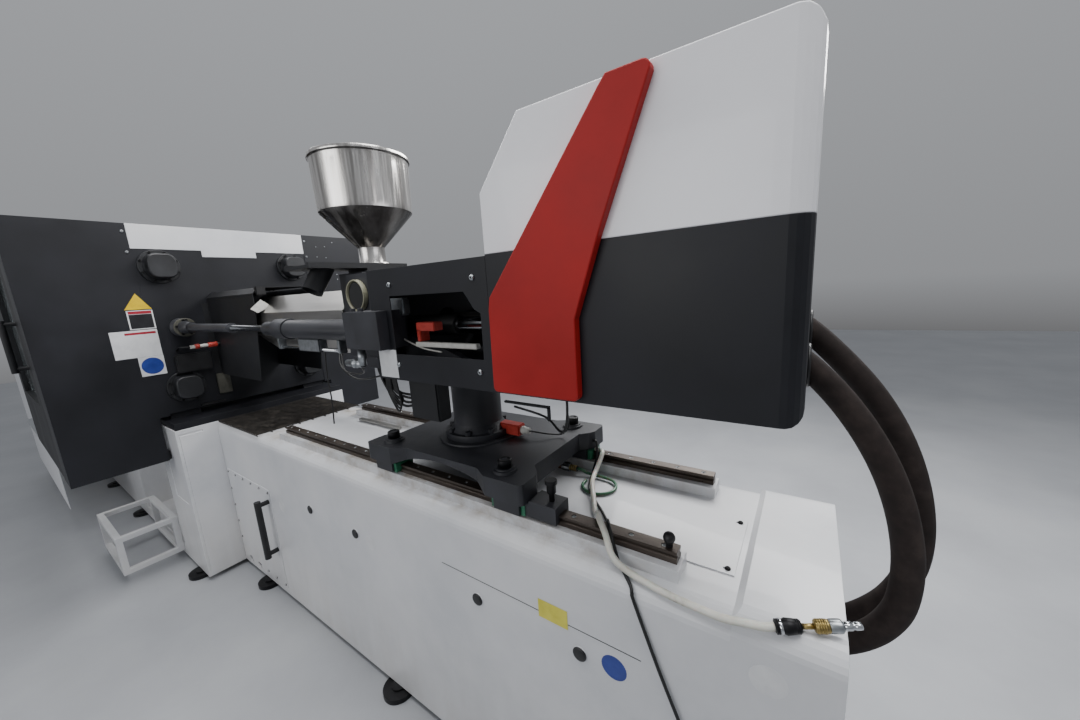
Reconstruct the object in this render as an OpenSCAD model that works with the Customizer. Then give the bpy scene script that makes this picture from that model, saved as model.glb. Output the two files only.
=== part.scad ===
// Injection moulding machine, horizontal, hydraulic clamp
// X runs along the machine, injection end at +X. Y = 0 is the mid-plane, -Y the operator side. Z = 0 is the floor.

/* [Machine axis] */
// Height of the barrel and clamp axis
axis_z = 1500; // [1480:1:1520]

/* [Injection base] */
// Rear end of the injection base
base_rear_x = 3308; // [3300:1:3340]
// Height of the deck
deck_z = 935; // [925:1:938]
// Half width of the injection base
base_half_w = 290; // [285:1:300]
// Radius of the deck's long edges
deck_r = 45; // [20:1:60]
// Sheet thickness of both bases
base_wall = 8; // [6:1:12]
// Gap between the floor and the bases
floor_gap = 30; // [20:1:40]
// Height of the raised rear deck above the deck
rear_step_h = 15; // [8:1:20]
// Length of the raised rear deck
rear_step_len = 168; // [120:1:180]
// Thickness of the loose cover plate between the rails
tray_t = 3; // [2:1:4]
// Length of the drip grating
grating_len = 550; // [400:10:560]

/* [Rails] */
// Distance of each rail from the mid-plane
rail_y = 203; // [195:1:210]
// Width of a rail
rail_w = 34; // [30:1:38]
// Height of a rail
rail_h = 29; // [27:1:31]
// Height of the pad under a rail
pad_h = 31; // [25:1:35]
// Width of the pad under a rail
pad_w = 74; // [60:1:76]
// Front end of the rails
rail_front_x = 1100; // [1080:1:1200]
// Rear end of the rails
rail_rear_x = 3003; // [2990:1:3010]
// Pitch of the rail bolts
rail_pitch = 80; // [60:5:100]

/* [Clamp base] */
// Front wall of the clamp base, beside the injection base
clamp_front_x = 360; // [350:1:362]
// Half width of the clamp base
clamp_half_w = 478; // [470:1:485]
// Height of the clamp base
clamp_top_z = 940; // [930:1:945]
// Width of the opening for falling mouldings
drop_len = 900; // [700:10:940]

/* [Clamp] */
// Injection side of the fixed platen
platen_x = 190; // [185:1:195]
// Thickness of the fixed platen
platen_t = 200; // [180:1:220]
// Half size of each platen
platen_half = 490; // [470:1:500]
// Distance of each tie bar from the axis, across and up
tie_off = 345; // [340:1:350]
// Tie bar diameter
tie_d = 90; // [80:1:100]
// Radial running clearance of rods and shafts
run_gap = 0.05; // [0.03:0.01:0.09]
// Distance between the platens when the clamp is open
daylight = 1050; // [950:10:1060]
// Thickness of the moving platen
moving_t = 180; // [160:1:190]
// Opening stroke of the clamp
clamp_stroke = 700; // [600:10:700]
// Diameter of the nozzle hole in the fixed platen
sprue_d = 160; // [140:1:170]
// Diameter of the clamp ram
ram_d = 220; // [180:1:240]
// Bore of the clamp cylinder
clamp_bore = 300; // [280:1:320]
// Stroke of the ejector
ejector_stroke = 120; // [80:5:120]
// Diameter of the ejector rods
ejector_d = 30; // [24:1:36]

/* [Guards] */
// Distance of the guards' outer face from the mid-plane
guard_y = 870; // [860:1:880]
// Height of the guards above the platens
guard_rise = 80; // [65:1:100]
// Lower edge of the guards
guard_low_z = 745; // [730:1:760]
// Guard sheet thickness
sheet_t = 3; // [2:1:4]
// Size of the square guard posts
post_w = 50; // [40:1:55]
// Length of each sliding gate
gate_len = 1240; // [1200:10:1260]
// Travel of each sliding gate
gate_stroke = 1000; // [900:10:1050]

/* [Carriage] */
// Front end of the carriage casting
cast_front_x = 1885; // [1880:1:1900]
// Length of the carriage casting
cast_len = 717; // [700:1:725]
// Half width of the carriage casting
cast_half_w = 262; // [258:1:275]
// Height of the carriage casting
cast_h = 62; // [55:1:70]
// Length of a bearing block
block_len = 94; // [86:1:104]
// Width of a bearing block
block_w = 90; // [80:1:100]
// Height from the pad to the top of a bearing block
block_top = 48; // [44:1:52]
// Clearance between block and rail
slide_gap = 0.4; // [0.3:0.1:0.8]
// Column position
column_x = 2212; // [2205:1:2220]
// Column diameter
column_d = 178; // [150:1:200]
// Diameter of the column's foot
column_foot_d = 244; // [230:1:260]
// Travel of the carriage towards the platen
carriage_stroke = 370; // [340:5:370]

/* [Injection unit] */
// Underside of the injection housing and covers
unit_low_z = 1350; // [1345:1:1360]
// Front of the feed block
throat_front_x = 1640; // [1630:1:1650]
// Position of the hopper throat
hopper_x = 1685; // [1680:1:1700]
// Front of the housing behind the feed block
housing_x = 1800; // [1790:1:1815]
// Half width of the housing ahead of the traverse blocks
housing_front_half_w = 200; // [190:1:205]
// Half width of the housing at the traverse blocks
housing_half_w = 244; // [235:1:245]
// Top of the housing
housing_top_z = 1700; // [1690:1:1704]
// Barrel diameter
barrel_d = 112; // [100:1:120]
// Screw diameter
screw_d = 50; // [40:1:60]
// Front end of the nozzle
nozzle_tip_x = 360; // [355:1:370]
// Stroke of the screw
screw_stroke = 200; // [150:5:220]
// Barrel guard, size across flats
shroud_af = 280; // [260:1:290]
// Front end of the barrel guard
shroud_front_x = 778; // [770:1:790]
// Distance of each traverse cylinder from the mid-plane
traverse_y = 310; // [308:1:314]
// Outer diameter of the traverse cylinders
traverse_d = 71; // [64:1:76]
// Rod diameter of the traverse cylinders
traverse_rod_d = 28; // [22:1:32]
// Outer diameter of the round cap on the housing's side
cap_d = 112; // [100:1:116]

/* [Covers] */
// Front edge of the rear cover
cover_front_x = 2587; // [2580:1:2595]
// Rear face of the rear cover
cover_rear_x = 3222; // [3210:1:3230]
// Half width of the covers
cover_half_w = 310; // [305:1:315]
// Seam between the dark and the white cover
cover_seam_z = 1683; // [1675:1:1690]
// Top of the rear cover
cover_top_z = 1957; // [1940:1:1980]
// Cover wall thickness
cover_wall = 4; // [3:1:6]
// How far the red band stands proud
band_t = 22; // [15:1:28]

/* [Hopper] */
// Diameter of the hopper body
hopper_d = 360; // [340:1:380]
// Diameter of the hopper spout
spout_d = 105; // [90:1:120]
// Wall of the hopper
hopper_wall = 2.5; // [2:0.5:4]
// Top of the hopper
hopper_top_z = 2150; // [2130:1:2180]
// Height of the hopper's cone
cone_h = 135; // [120:1:145]
// Upper face of the hopper's slide plate
slide_top_z = 1728; // [1722:1:1732]
// Travel of the hopper along its slide plate
hopper_stroke = 205; // [180:1:210]

/* [Hidden] */
$fn = 48;
rail_base_z = deck_z + pad_h;
rail_top_z = rail_base_z + rail_h;
cast_low_z = rail_base_z + block_top;
cast_top_z = cast_low_z + cast_h;
cast_rear_x = cast_front_x + cast_len;
block_x = [cast_front_x + 70, cast_rear_x - 70];
bolt_x = [cast_front_x + 88, cast_rear_x - 100];
mould_x = platen_x - platen_t;
moving_x = mould_x - daylight;
moving_back_x = moving_x - moving_t;
spider_t = 40;
spider_len = ejector_stroke + spider_t + 40;
spider_back_x = moving_back_x - spider_len;
tail_gap = 120;
tail_x = spider_back_x - tail_gap;
tail_t = 220;
tail_back_x = tail_x - tail_t;
cylinder_len = clamp_stroke + 260;
clamp_end_x = -base_rear_x;
gate_front_x = -30;
gate_rear_x = gate_front_x - gate_len;
piston_len = 50;
guard_top_z = axis_z + platen_half + guard_rise;
tray_y = [-157, 77];

// A block given by its lowest and highest coordinate on each axis
module block(x, y, z) {
    translate([x[0], y[0], z[0]])
        cube([x[1] - x[0], y[1] - y[0], z[1] - z[0]]);
}

// Round bars along each axis
module bar_x(x, d, y = 0, z = axis_z) {
    translate([x[0], y, z]) rotate([0, 90, 0]) cylinder(d = d, h = x[1] - x[0]);
}
module bar_y(y, d, x, z) {
    translate([x, y[1], z]) rotate([90, 0, 0]) cylinder(d = d, h = y[1] - y[0]);
}
module bar_z(z, d, x, y = 0) {
    translate([x, y, z[0]]) cylinder(d = d, h = z[1] - z[0]);
}

// Extrudes a side view (X and Z) over a range of Y, or a front view (Y and Z) over a range of X
module side_view(y) {
    translate([0, y[1], 0]) rotate([90, 0, 0]) linear_extrude(y[1] - y[0]) children();
}
module front_view(x) {
    translate([x[0], 0, 0]) rotate([90, 0, 90]) linear_extrude(x[1] - x[0]) children();
}
module plan_view(z) {
    translate([0, 0, z[0]]) linear_extrude(z[1] - z[0]) children();
}

// Copies on both sides of the mid-plane, and at the four tie bars
module both_sides() {
    children();
    mirror([0, 1, 0]) children();
}
module at_tie_bars() {
    for (y = [-tie_off, tie_off], z = [-tie_off, tie_off]) translate([0, y, z]) children();
}

// Points of an arc, and of a rectangle with rounded corners
function arc(c, r, a, n = 5) = [for (i = [0:n]) let (t = a[0] + (a[1] - a[0]) * i / n) c + r * [cos(t), sin(t)]];
function rounded(x, y, r, n = 5) = concat(
    arc([x[1] - r, y[0] + r], r, [-90, 0], n), arc([x[1] - r, y[1] - r], r, [0, 90], n),
    arc([x[0] + r, y[1] - r], r, [90, 180], n), arc([x[0] + r, y[0] + r], r, [180, 270], n));

// Section of the injection base, with rounded deck edges
function base_section(inset, low, top, r) = concat(
    [[-base_half_w + inset, low], [base_half_w - inset, low]],
    arc([base_half_w - inset - r, top - r], r, [0, 90], 6),
    arc([-base_half_w + inset + r, top - r], r, [90, 180], 6));

base_front_x = clamp_front_x + 1;
pan_depth = 35;

module injection_base() {
    color("whitesmoke") {
        difference() {
            union() {
                front_view([base_front_x, base_rear_x])
                    polygon(base_section(0, floor_gap, deck_z, deck_r));
                both_sides()
                    block([rail_front_x - 30, rail_rear_x + 8], [rail_y - pad_w / 2, rail_y + pad_w / 2],
                        [deck_z - 1, rail_base_z]);
                intersection() {
                    side_view([-base_half_w, base_half_w])
                        polygon([[base_rear_x - rear_step_len - rear_step_h, deck_z - 60],
                            [base_rear_x, deck_z - 60], [base_rear_x, deck_z + rear_step_h],
                            [base_rear_x - rear_step_len, deck_z + rear_step_h],
                            [base_rear_x - rear_step_len - rear_step_h, deck_z]]);
                    front_view([base_front_x, base_rear_x])
                        polygon(base_section(0, floor_gap, deck_z + rear_step_h, deck_r));
                }
            }
            block([base_front_x + 30, base_front_x + grating_len - 20], [-235, 235], [deck_z - pan_depth, deck_z + 1]);
            for (h = hose_end)
                bar_x([base_rear_x - hose_depth, base_rear_x + 1], hose_hole_d, h[0], h[1]);
            for (x = vent_x) bar_y([-base_half_w - 1, -base_half_w + 4 * base_wall], vent_d, x, vent_z);
        }
    }
    color("black") both_sides()
        for (x = plug_x) bar_y([base_half_w - 1, base_half_w + plug_t], plug_d, x, plug_z);
}

plug_x = [1392, 1757, 2425, 2780];
plug_z = 672;
plug_d = 38;
plug_t = 3;
vent_x = [470, 590];
vent_z = 75;
vent_d = 44;
hose_d = 52;
hose_hole_d = 82;
hose_depth = 40;
hose_y = 60;
hose_end = [[-hose_y, 780], [hose_y, 739]];

tray_x = [base_front_x + grating_len + 40, 3112];

module tray_plate() {
    color("gainsboro") {
        difference() {
            block(tray_x, tray_y, [deck_z, deck_z + tray_t]);
            for (x = [tray_x[0] + 18, tray_x[1] - 22], y = [tray_y[0] + 16, tray_y[1] - 16])
                bar_z([deck_z - 1, deck_z + tray_t + 1], 9, x, y);
        }
    }
}

grating_bar = 4;
grating_pitch = 22;

module drip_grating() {
    grating_x = [base_front_x + 6, base_front_x + grating_len];
    half_w = base_half_w - 8;
    color("dimgray") {
        for (x = [grating_x[0] : grating_pitch : grating_x[1] - grating_bar])
            block([x, x + grating_bar], [-half_w + 1, half_w - 1], [deck_z + 4, deck_z + 9]);
        for (y = [-half_w : (2 * half_w - grating_bar) / 8 : half_w])
            block([grating_x[0], grating_x[1]], [y, y + grating_bar], [deck_z, deck_z + 4.5]);
    }
}

panel_x = [base_front_x + 12, 945];
panel_z = [70, 648];
panel_t = 3;

module access_panel() {
    color("white") {
        difference() {
            block(panel_x, [-base_half_w - panel_t, -base_half_w], panel_z);
            for (x = vent_x) bar_y([-base_half_w - panel_t - 1, -base_half_w + 1], vent_d, x, vent_z);
        }
    }
    color("black") {
        for (i = [0:5]) {
            screw_head(panel_x[0] + 16 + i * 108, panel_z[1] - 16);
            if (i > 1) screw_head(panel_x[0] + 16 + i * 108, panel_z[0] + 16);
        }
        for (i = [1:4]) screw_head(panel_x[0] + 16, panel_z[1] - 16 - i * 108);
    }
}

module screw_head(x, z) {
    bar_y([-base_half_w - panel_t - 5, -base_half_w - panel_t + 0.5], 12, x, z);
}

handle_x = 918;
handle_z = [277, 601];
handle_d = 30;

module access_handle() {
    y = -base_half_w - panel_t;
    color("black") {
        bar_z(handle_z, handle_d, handle_x, y - 50);
        for (z = [handle_z[0] + 22, handle_z[1] - 22])
            bar_y([y - 50, y - 0.3], 24, handle_x, z);
    }
}

// Section of a linear guide rail with its side grooves, around a rail's centre line
function rail_section(g) = let (w = rail_w / 2 + g, h = rail_base_z + (g > 0 ? -1 : 0), t = rail_top_z, k = 6) [
    [-w, h], [w, h], [w, t - 17 + g], [w - k, t - 13 + g], [w - k, t - 10 - g], [w, t - 6 - g], [w, t + g],
    [-w, t + g], [-w, t - 6 - g], [-w + k, t - 10 - g], [-w + k, t - 13 + g], [-w, t - 17 + g]];

module rail(y) {
    color("dimgray") {
        difference() {
            front_view([rail_front_x, rail_rear_x]) translate([y, 0]) polygon(rail_section(0));
            for (x = [rail_front_x + 30 : rail_pitch : rail_rear_x - 10])
                bar_z([rail_top_z - 9, rail_top_z + 1], 14, x, y);
        }
    }
}
module near_rail() { rail(-rail_y); }
module far_rail() { rail(rail_y); }

module rail_stop() {
    color("black") {
        difference() {
            union() {
                bar_z([rail_top_z, rail_top_z + 12], 16, rail_rear_x - 22, -rail_y);
                translate([rail_rear_x - 22, -rail_y, rail_top_z + 22]) sphere(d = 28);
            }
            block([rail_rear_x - 60, rail_rear_x + 20], [-rail_y - 40, -rail_y + 40], [rail_top_z - 20, rail_top_z]);
        }
    }
}

foot_d = 130;
module foot(x, y) {
    bar_z([0, floor_gap - 8], foot_d, x, y);
    bar_z([floor_gap - 9, floor_gap], 60, x, y);
}
module levelling_feet() {
    color("dimgray") {
        for (y = [-base_half_w + 4, base_half_w - 4], x = [700, 1900, base_rear_x - 90]) foot(x, y);
        for (y = [-clamp_half_w, clamp_half_w], x = [220, -1150, -2150, clamp_end_x + 90]) foot(x, y);
    }
}

clamp_rear_x = clamp_end_x + 12;
drop_x = [mould_x - 40 - drop_len, mould_x - 40];
way_y = 345;

module clamp_base() {
    color("whitesmoke") {
        difference() {
            block([clamp_rear_x, clamp_front_x], [-clamp_half_w, clamp_half_w], [floor_gap, clamp_top_z]);
            block(drop_x, [-clamp_half_w - 1, clamp_half_w + 1], [110, clamp_top_z - 200]);
            block(drop_x, [-280, 280], [clamp_top_z - 201, clamp_top_z + 1]);
            block([clamp_front_x - 3, clamp_front_x + 1], [-clamp_half_w + 10, -clamp_half_w + 15], [60, 905]);
            block([clamp_front_x - 3, clamp_front_x + 1], [-clamp_half_w + 10, -clamp_half_w + 118], [905, 916]);
            block([60, 300], [-clamp_half_w - 1, -clamp_half_w + 4], [480, 760]);
        }
    }
}

step_tube = 30;
module operator_step() {
    x = [-620, -70];
    y = [-760, -clamp_half_w];
    z = [60, 300];
    color("whitesmoke") {
        for (px = [x[0], x[1] - step_tube], pz = [z[0], z[1] - step_tube])
            block([px, px + step_tube], y, [pz, pz + step_tube]);
        for (px = [x[0], x[1] - step_tube], py = [y[0], y[1] - step_tube])
            block([px, px + step_tube], [py, py + step_tube], z);
        for (pz = [z[0], z[1] - step_tube], py = [y[0], y[1] - step_tube])
            block(x, [py, py + step_tube], [pz, pz + step_tube]);
    }
}

way_h = 25;
way_x = [tail_x + 20, mould_x - 60];
module guide_ways() {
    color("silver")
        both_sides() block(way_x, [way_y - 55, way_y + 55], [clamp_top_z, clamp_top_z + way_h]);
}

// Outline of a platen seen from the end
function platen_outline() = rounded([-platen_half, platen_half], [axis_z - platen_half, axis_z + platen_half], 40);

mould_bolts = [[140, 140], [210, 210], [280, 140]];
mould_bolt_d = 20;
mould_bolt_deep = 45;
module mould_holes(x) {
    for (b = mould_bolts, y = [-b[0], b[0]], z = [-b[1], b[1]])
        bar_x(x, mould_bolt_d, y, axis_z + z);
}

module fixed_platen() {
    color("#2b2d31") {
        difference() {
            union() {
                front_view([mould_x, platen_x]) polygon(platen_outline());
                block([mould_x + 20, clamp_front_x - 6], [-clamp_half_w + 6, clamp_half_w - 6],
                    [clamp_top_z, clamp_top_z + 38]);
                both_sides() block([mould_x + 20, platen_x - 20], [300, 440], [clamp_top_z + 30, axis_z - platen_half + 20]);
            }
            bar_x([mould_x - 1, platen_x + 1], sprue_d);
            translate([mould_x + 130, 0, axis_z]) rotate([0, 90, 0])
                cylinder(d1 = sprue_d, d2 = sprue_d + 110, h = platen_t - 129);
            at_tie_bars() bar_x([mould_x - 1, platen_x + 1], tie_d + 2 * run_gap);
            mould_holes([mould_x - 1, mould_x + mould_bolt_deep]);
        }
    }
}

tie_x = [tail_back_x - 100, platen_x + 62];
module tie_bars() {
    color("silver") at_tie_bars() bar_x(tie_x, tie_d);
}

nut_d = 128;
module tie_bar_nuts() {
    color("dimgray") {
        at_tie_bars() {
            difference() {
                bar_x([platen_x + 0.3, platen_x + 62], nut_d);
                bar_x([platen_x - 1, platen_x + 64], tie_d + 2 * run_gap);
            }
            difference() {
                bar_x([tail_back_x - 90, tail_back_x - 0.3], nut_d + 20, $fn = 8);
                bar_x([tail_back_x - 92, tail_back_x + 1], tie_d + 2 * run_gap);
            }
        }
    }
}

module nut_covers() {
    color("#232428") {
        at_tie_bars()
            difference() {
                union() {
                    bar_x([platen_x, platen_x + 12], 182);
                    bar_x([platen_x + 11, platen_x + 74], 158);
                    translate([platen_x + 73.5, 0, axis_z]) rotate([0, 90, 0]) cylinder(d1 = 158, d2 = 140, h = 9);
                    for (a = [0:45:315]) translate([0, 0, axis_z]) rotate([a, 0, 0])
                        bar_x([platen_x + 11, platen_x + 19], 11, 0, 83);
                }
                bar_x([platen_x - 1, platen_x + 70], nut_d + 8);
            }
    }
}

module cylinder_platen() {
    x = [tail_back_x - cylinder_len, tail_back_x];
    color("#2b2d31") {
        difference() {
            union() {
                front_view([tail_back_x, tail_x]) polygon(platen_outline());
                both_sides() block([tail_back_x, tail_x], [250, 450], [clamp_top_z, axis_z - platen_half + 10]);
                bar_x([x[0], x[1] + 1], clamp_bore + 100);
                bar_x([x[1] - 60, x[1] + 1], clamp_bore + 180);
                bar_x([x[0], x[0] + 70], clamp_bore + 160);
            }
            bar_x([x[1] - 1, tail_x + 1], ram_d + 2 * run_gap);
            bar_x([x[0] + 60, x[1]], clamp_bore);
            at_tie_bars() bar_x([tail_back_x - 1, tail_x + 1], tie_d + 2 * run_gap);
        }
        both_sides() block([x[0] + 80, x[0] + 140], [90, 150], [clamp_top_z, axis_z - clamp_bore / 2 - 10]);
    }
}

strip_y = 445;
strip_z = guard_top_z - 130;
module white_strip() {
    color("whitesmoke") {
        block([platen_x, platen_x + sheet_t], [-strip_y, strip_y], [strip_z, guard_top_z]);
        block([platen_x, platen_x + sheet_t], [-142, 142], [strip_z - 37, strip_z + 1]);
        block([platen_x - 70, platen_x + sheet_t], [-strip_y, strip_y], [guard_top_z - sheet_t, guard_top_z]);
        block([platen_x - 70, platen_x - 70 + sheet_t], [-strip_y, strip_y], [axis_z + platen_half, guard_top_z]);
    }
}

module front_panels() {
    color("#2b2d31") {
        both_sides() {
            difference() {
                block([platen_x, platen_x + sheet_t], [strip_y + 1, guard_y], [guard_low_z, guard_top_z]);
                block([platen_x - 1, platen_x + 5], [strip_y, 492], [guard_low_z - 1, clamp_top_z + 60]);
            }
            block([gate_front_x + 3, platen_x + sheet_t], [guard_y - sheet_t, guard_y], [guard_low_z, guard_top_z]);
            block([platen_x - 60, platen_x + sheet_t], [strip_y + 1, guard_y], [guard_top_z - sheet_t, guard_top_z]);
        }
    }
    color("silver") {
        both_sides()
            for (z = [strip_z - 20, guard_top_z - 42])
                bar_x([platen_x + sheet_t - 0.5, platen_x + sheet_t + 4], 12, strip_y + 16, z);
    }
}

guard_in = guard_y - 45;
module guard_frame() {
    post_x = [platen_x - post_w, gate_rear_x - post_w, clamp_end_x + sheet_t];
    color("#34363b") {
        both_sides() {
            for (x = post_x)
                block([x, x + post_w], [guard_in - post_w, guard_in], [guard_low_z, guard_top_z - sheet_t - 4]);
            for (z = [guard_low_z, guard_top_z - sheet_t - 4 - post_w])
                block([post_x[2], platen_x], [guard_in - post_w, guard_in], [z, z + post_w]);
            block([platen_x - 60, platen_x], [guard_in - 1, guard_y - sheet_t], [1000, 1060]);
        }
        for (x = post_x)
            block([x, x + post_w], [-guard_in + post_w, guard_in - post_w],
                [guard_top_z - sheet_t - 4 - post_w, guard_top_z - sheet_t - 4]);
        both_sides()
            for (x = [post_x[0] - 20, post_x[1], post_x[2]])
                block([x, x + post_w], [clamp_half_w, guard_in - post_w + 1], [guard_low_z, guard_low_z + post_w]);
    }
}

module side_guards() {
    x = [clamp_end_x + sheet_t, gate_rear_x - 4];
    split_z = 1180;
    color("whitesmoke") both_sides() {
        block(x, [guard_in, guard_in + sheet_t], [guard_low_z - 560, split_z]);
        block([x[0], x[0] + 30], [guard_in - 25, guard_in + sheet_t], [guard_low_z - 560, guard_low_z - 1]);
    }
    color("#2b2d31") both_sides()
        block(x, [guard_in, guard_in + sheet_t], [split_z - 0.1, guard_top_z]);
    color("#2b2d31")
        block(x, [-guard_in - sheet_t, guard_in + sheet_t], [guard_top_z - sheet_t - 4, guard_top_z]);
    color("whitesmoke")
        difference() {
            block([clamp_end_x, x[0]], [-guard_in - sheet_t, guard_in + sheet_t], [guard_low_z - 560, guard_top_z]);
            for (z = [1250:40:1690]) block([clamp_end_x - 1, x[0] + 1], [-300, 300], [z, z + 12]);
        }
}

module gate_tracks() {
    x = [gate_rear_x - gate_stroke - 20, platen_x - 60 - 0.3];
    color("#34363b") both_sides() {
        block(x, [guard_in + sheet_t, guard_y - sheet_t - 0.3], [guard_low_z + 4, guard_low_z + 14]);
        block(x, [guard_in + sheet_t, guard_in + 8], [guard_top_z - 40, guard_top_z - 8]);
        block(x, [guard_in + sheet_t, guard_y - sheet_t - 0.3], [guard_top_z - 18, guard_top_z - 8]);
        for (z = [guard_low_z + 4, guard_top_z - 18])
            block([gate_front_x + 10, x[1]], [guard_in, guard_in + 5], [z, z + 10]);
    }
}

module gate(window) {
    z = [guard_low_z + 14.3, guard_top_z - 42];
    y = [guard_in + 10, guard_y];
    wx = [gate_rear_x + 170, gate_front_x - 170];
    wz = [1130, 1880];
    if (window) {
        color("lightblue", 0.4)
            block([wx[0] - 20, wx[1] + 20], [y[0] + 6, y[0] + 11], [wz[0] - 20, wz[1] + 20]);
    } else {
        color("#2b2d31") {
            difference() {
                block([gate_rear_x, gate_front_x], [y[0], y[1]], z);
                block(wx, [y[0] - 1, y[1] + 1], wz);
                block([wx[0] - 20.3, wx[1] + 20.3], [y[0] + 5.7, y[0] + 11.3], [wz[0] - 20.3, wz[1] + 20.3]);
                block([gate_rear_x + 30, gate_front_x - 30], [y[0] - 1, y[0] + 20], [z[0] + 30, wz[0] - 60]);
            }
            for (px = [gate_front_x - 110])
                for (pz = [1350, 1580]) bar_y([y[1] - 1, y[1] + 46], 20, px, pz);
            bar_z([1330, 1600], 26, gate_front_x - 110, y[1] + 46);
        }
    }
}
module far_gate() { gate(false); }
module far_gate_window() { gate(true); }
module near_gate() { mirror([0, 1, 0]) gate(false); }
module near_gate_window() { mirror([0, 1, 0]) gate(true); }

traverse_gland_x = 1357;
traverse_bore_d = 52;
traverse_block = [2000, 2180];
traverse_block_half_w = 35;
gland_len = 100;
gland_ring_len = 100;
traverse_piston_x = 1612;
module traverse_rods() {
    color("silver") both_sides() {
        bar_x([platen_x + 40, traverse_piston_x + 10], traverse_rod_d, traverse_y);
        bar_x([traverse_piston_x, traverse_piston_x + piston_len], traverse_bore_d - 2 * run_gap, traverse_y);
        bar_x([platen_x, platen_x + 14], 104, traverse_y);
    }
    color("#2b2d31") both_sides() {
        bar_x([platen_x + 13, platen_x + 200], 58, traverse_y);
        bar_x([platen_x + 199, traverse_gland_x - carriage_stroke - 23], 40, traverse_y);
    }
}

hood_half_w = 165;
hood_x = [platen_x, 862];
hood_z = [1190, 1690];
hood_slope = 100;
hinge_d = 14;
module nozzle_guard() {
    color("#232428") {
        for (s = [-1, 1]) {
            z = [hood_z[0], hood_z[1] - (s < 0 ? 40 : 10)];
            translate([0, s * (hood_half_w - sheet_t / 2), 0]) side_view([-sheet_t / 2, sheet_t / 2])
                polygon([[hood_x[0], z[0]], [hood_x[1] - hood_slope, z[0]], [hood_x[1], hood_z[1] - 120],
                    [hood_x[1], z[1]], [hood_x[0], z[1]]]);
            translate([0, s * (hood_half_w + 14.5), 0])
                block([hood_x[0], hood_x[0] + sheet_t], [-15.5, 15.5], [z[0], hood_z[1] - 60]);
        }
        difference() {
            union() {
                for (x = [hood_x[0] + 90, hood_x[1] - 130])
                    bar_x([x, x + 40], hinge_d + 8, hood_half_w + 8, hood_z[1] - 30);
                for (x = [hood_x[0] + 90, hood_x[1] - 130])
                    block([x, x + 40], [hood_half_w - 1, hood_half_w + 8], [hood_z[1] - 70, hood_z[1] - 34]);
            }
            bar_x([hood_x[0] + 60, hood_x[1]], hinge_d, hood_half_w + 8, hood_z[1] - 30);
        }
    }
}

module nozzle_guard_lid() {
    lid_low = hood_z[1] - 39;
    color("#232428") {
        front_view([hood_x[0] + 4, hood_x[1]])
            polygon([[-hood_half_w, lid_low], [-hood_half_w + sheet_t, lid_low],
                [-hood_half_w + sheet_t, hood_z[1] - 32], [-hood_half_w + 32, hood_z[1] - sheet_t],
                [hood_half_w - 12, hood_z[1] - sheet_t], [hood_half_w - 12, hood_z[1]],
                [-hood_half_w + 30, hood_z[1]], [-hood_half_w, hood_z[1] - 30]]);
        for (x = [hood_x[0] + 70, hood_x[0] + 134, hood_x[1] - 150, hood_x[1] - 86])
            block([x, x + 16], [hood_half_w - 13, hood_half_w + 8], [hood_z[1] - 8, hood_z[1]]);
        for (x = [hood_x[0] + 70, hood_x[0] + 134, hood_x[1] - 150, hood_x[1] - 86])
            block([x, x + 16], [hood_half_w + 3, hood_half_w + 13.5], [hood_z[1] - 35, hood_z[1]]);
        for (x = [hood_x[0] + 72, hood_x[1] - 148])
            bar_x([x, x + 76], hinge_d - 2 * run_gap, hood_half_w + 8, hood_z[1] - 30);
    }
}

module moving_platen() {
    color("#2b2d31") {
        difference() {
            union() {
                front_view([moving_back_x, moving_x])
                    polygon(rounded([-platen_half + 6, platen_half - 6],
                        [clamp_top_z + way_h + 50, axis_z + platen_half - 6], 40));
                for (y = [-220, 220], z = [-190, 190])
                    block([spider_back_x, moving_back_x + 1], [y - 40, y + 40], [axis_z + z - 40, axis_z + z + 40]);
                block([spider_back_x, spider_back_x + spider_t], [-260, 260], [axis_z - 230, axis_z + 230]);
            }
            at_tie_bars() bar_x([moving_back_x - 1, moving_x + 1], tie_d + 2 * run_gap);
            mould_holes([moving_x - mould_bolt_deep, moving_x + 1]);
            for (y = [-100, 100], z = [-100, 100])
                bar_x([moving_back_x - 1, moving_x + 1], ejector_d + 2 * run_gap, y, axis_z + z);
        }
    }
}

module platen_shoes() {
    color("goldenrod") both_sides()
        block([moving_back_x - 60, moving_x - 4], [way_y - 50, way_y + 50],
            [clamp_top_z + way_h + 0.3, clamp_top_z + way_h + 49.9]);
}

ram_rear_x = tail_back_x - clamp_stroke - 130;
module ram() {
    color("silver") {
        bar_x([ram_rear_x + 60, spider_back_x - 0.1], ram_d);
        bar_x([ram_rear_x, ram_rear_x + 61], clamp_bore - 2 * run_gap);
    }
}

module ejector() {
    plate_x = moving_back_x - ejector_stroke - 3;
    color("silver") {
        block([plate_x - 30, plate_x], [-150, 150], [axis_z - 140, axis_z + 140]);
        for (y = [-100, 100], z = [-100, 100])
            bar_x([plate_x - 1, moving_x - 5], ejector_d, y, axis_z + z);
    }
}

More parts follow.
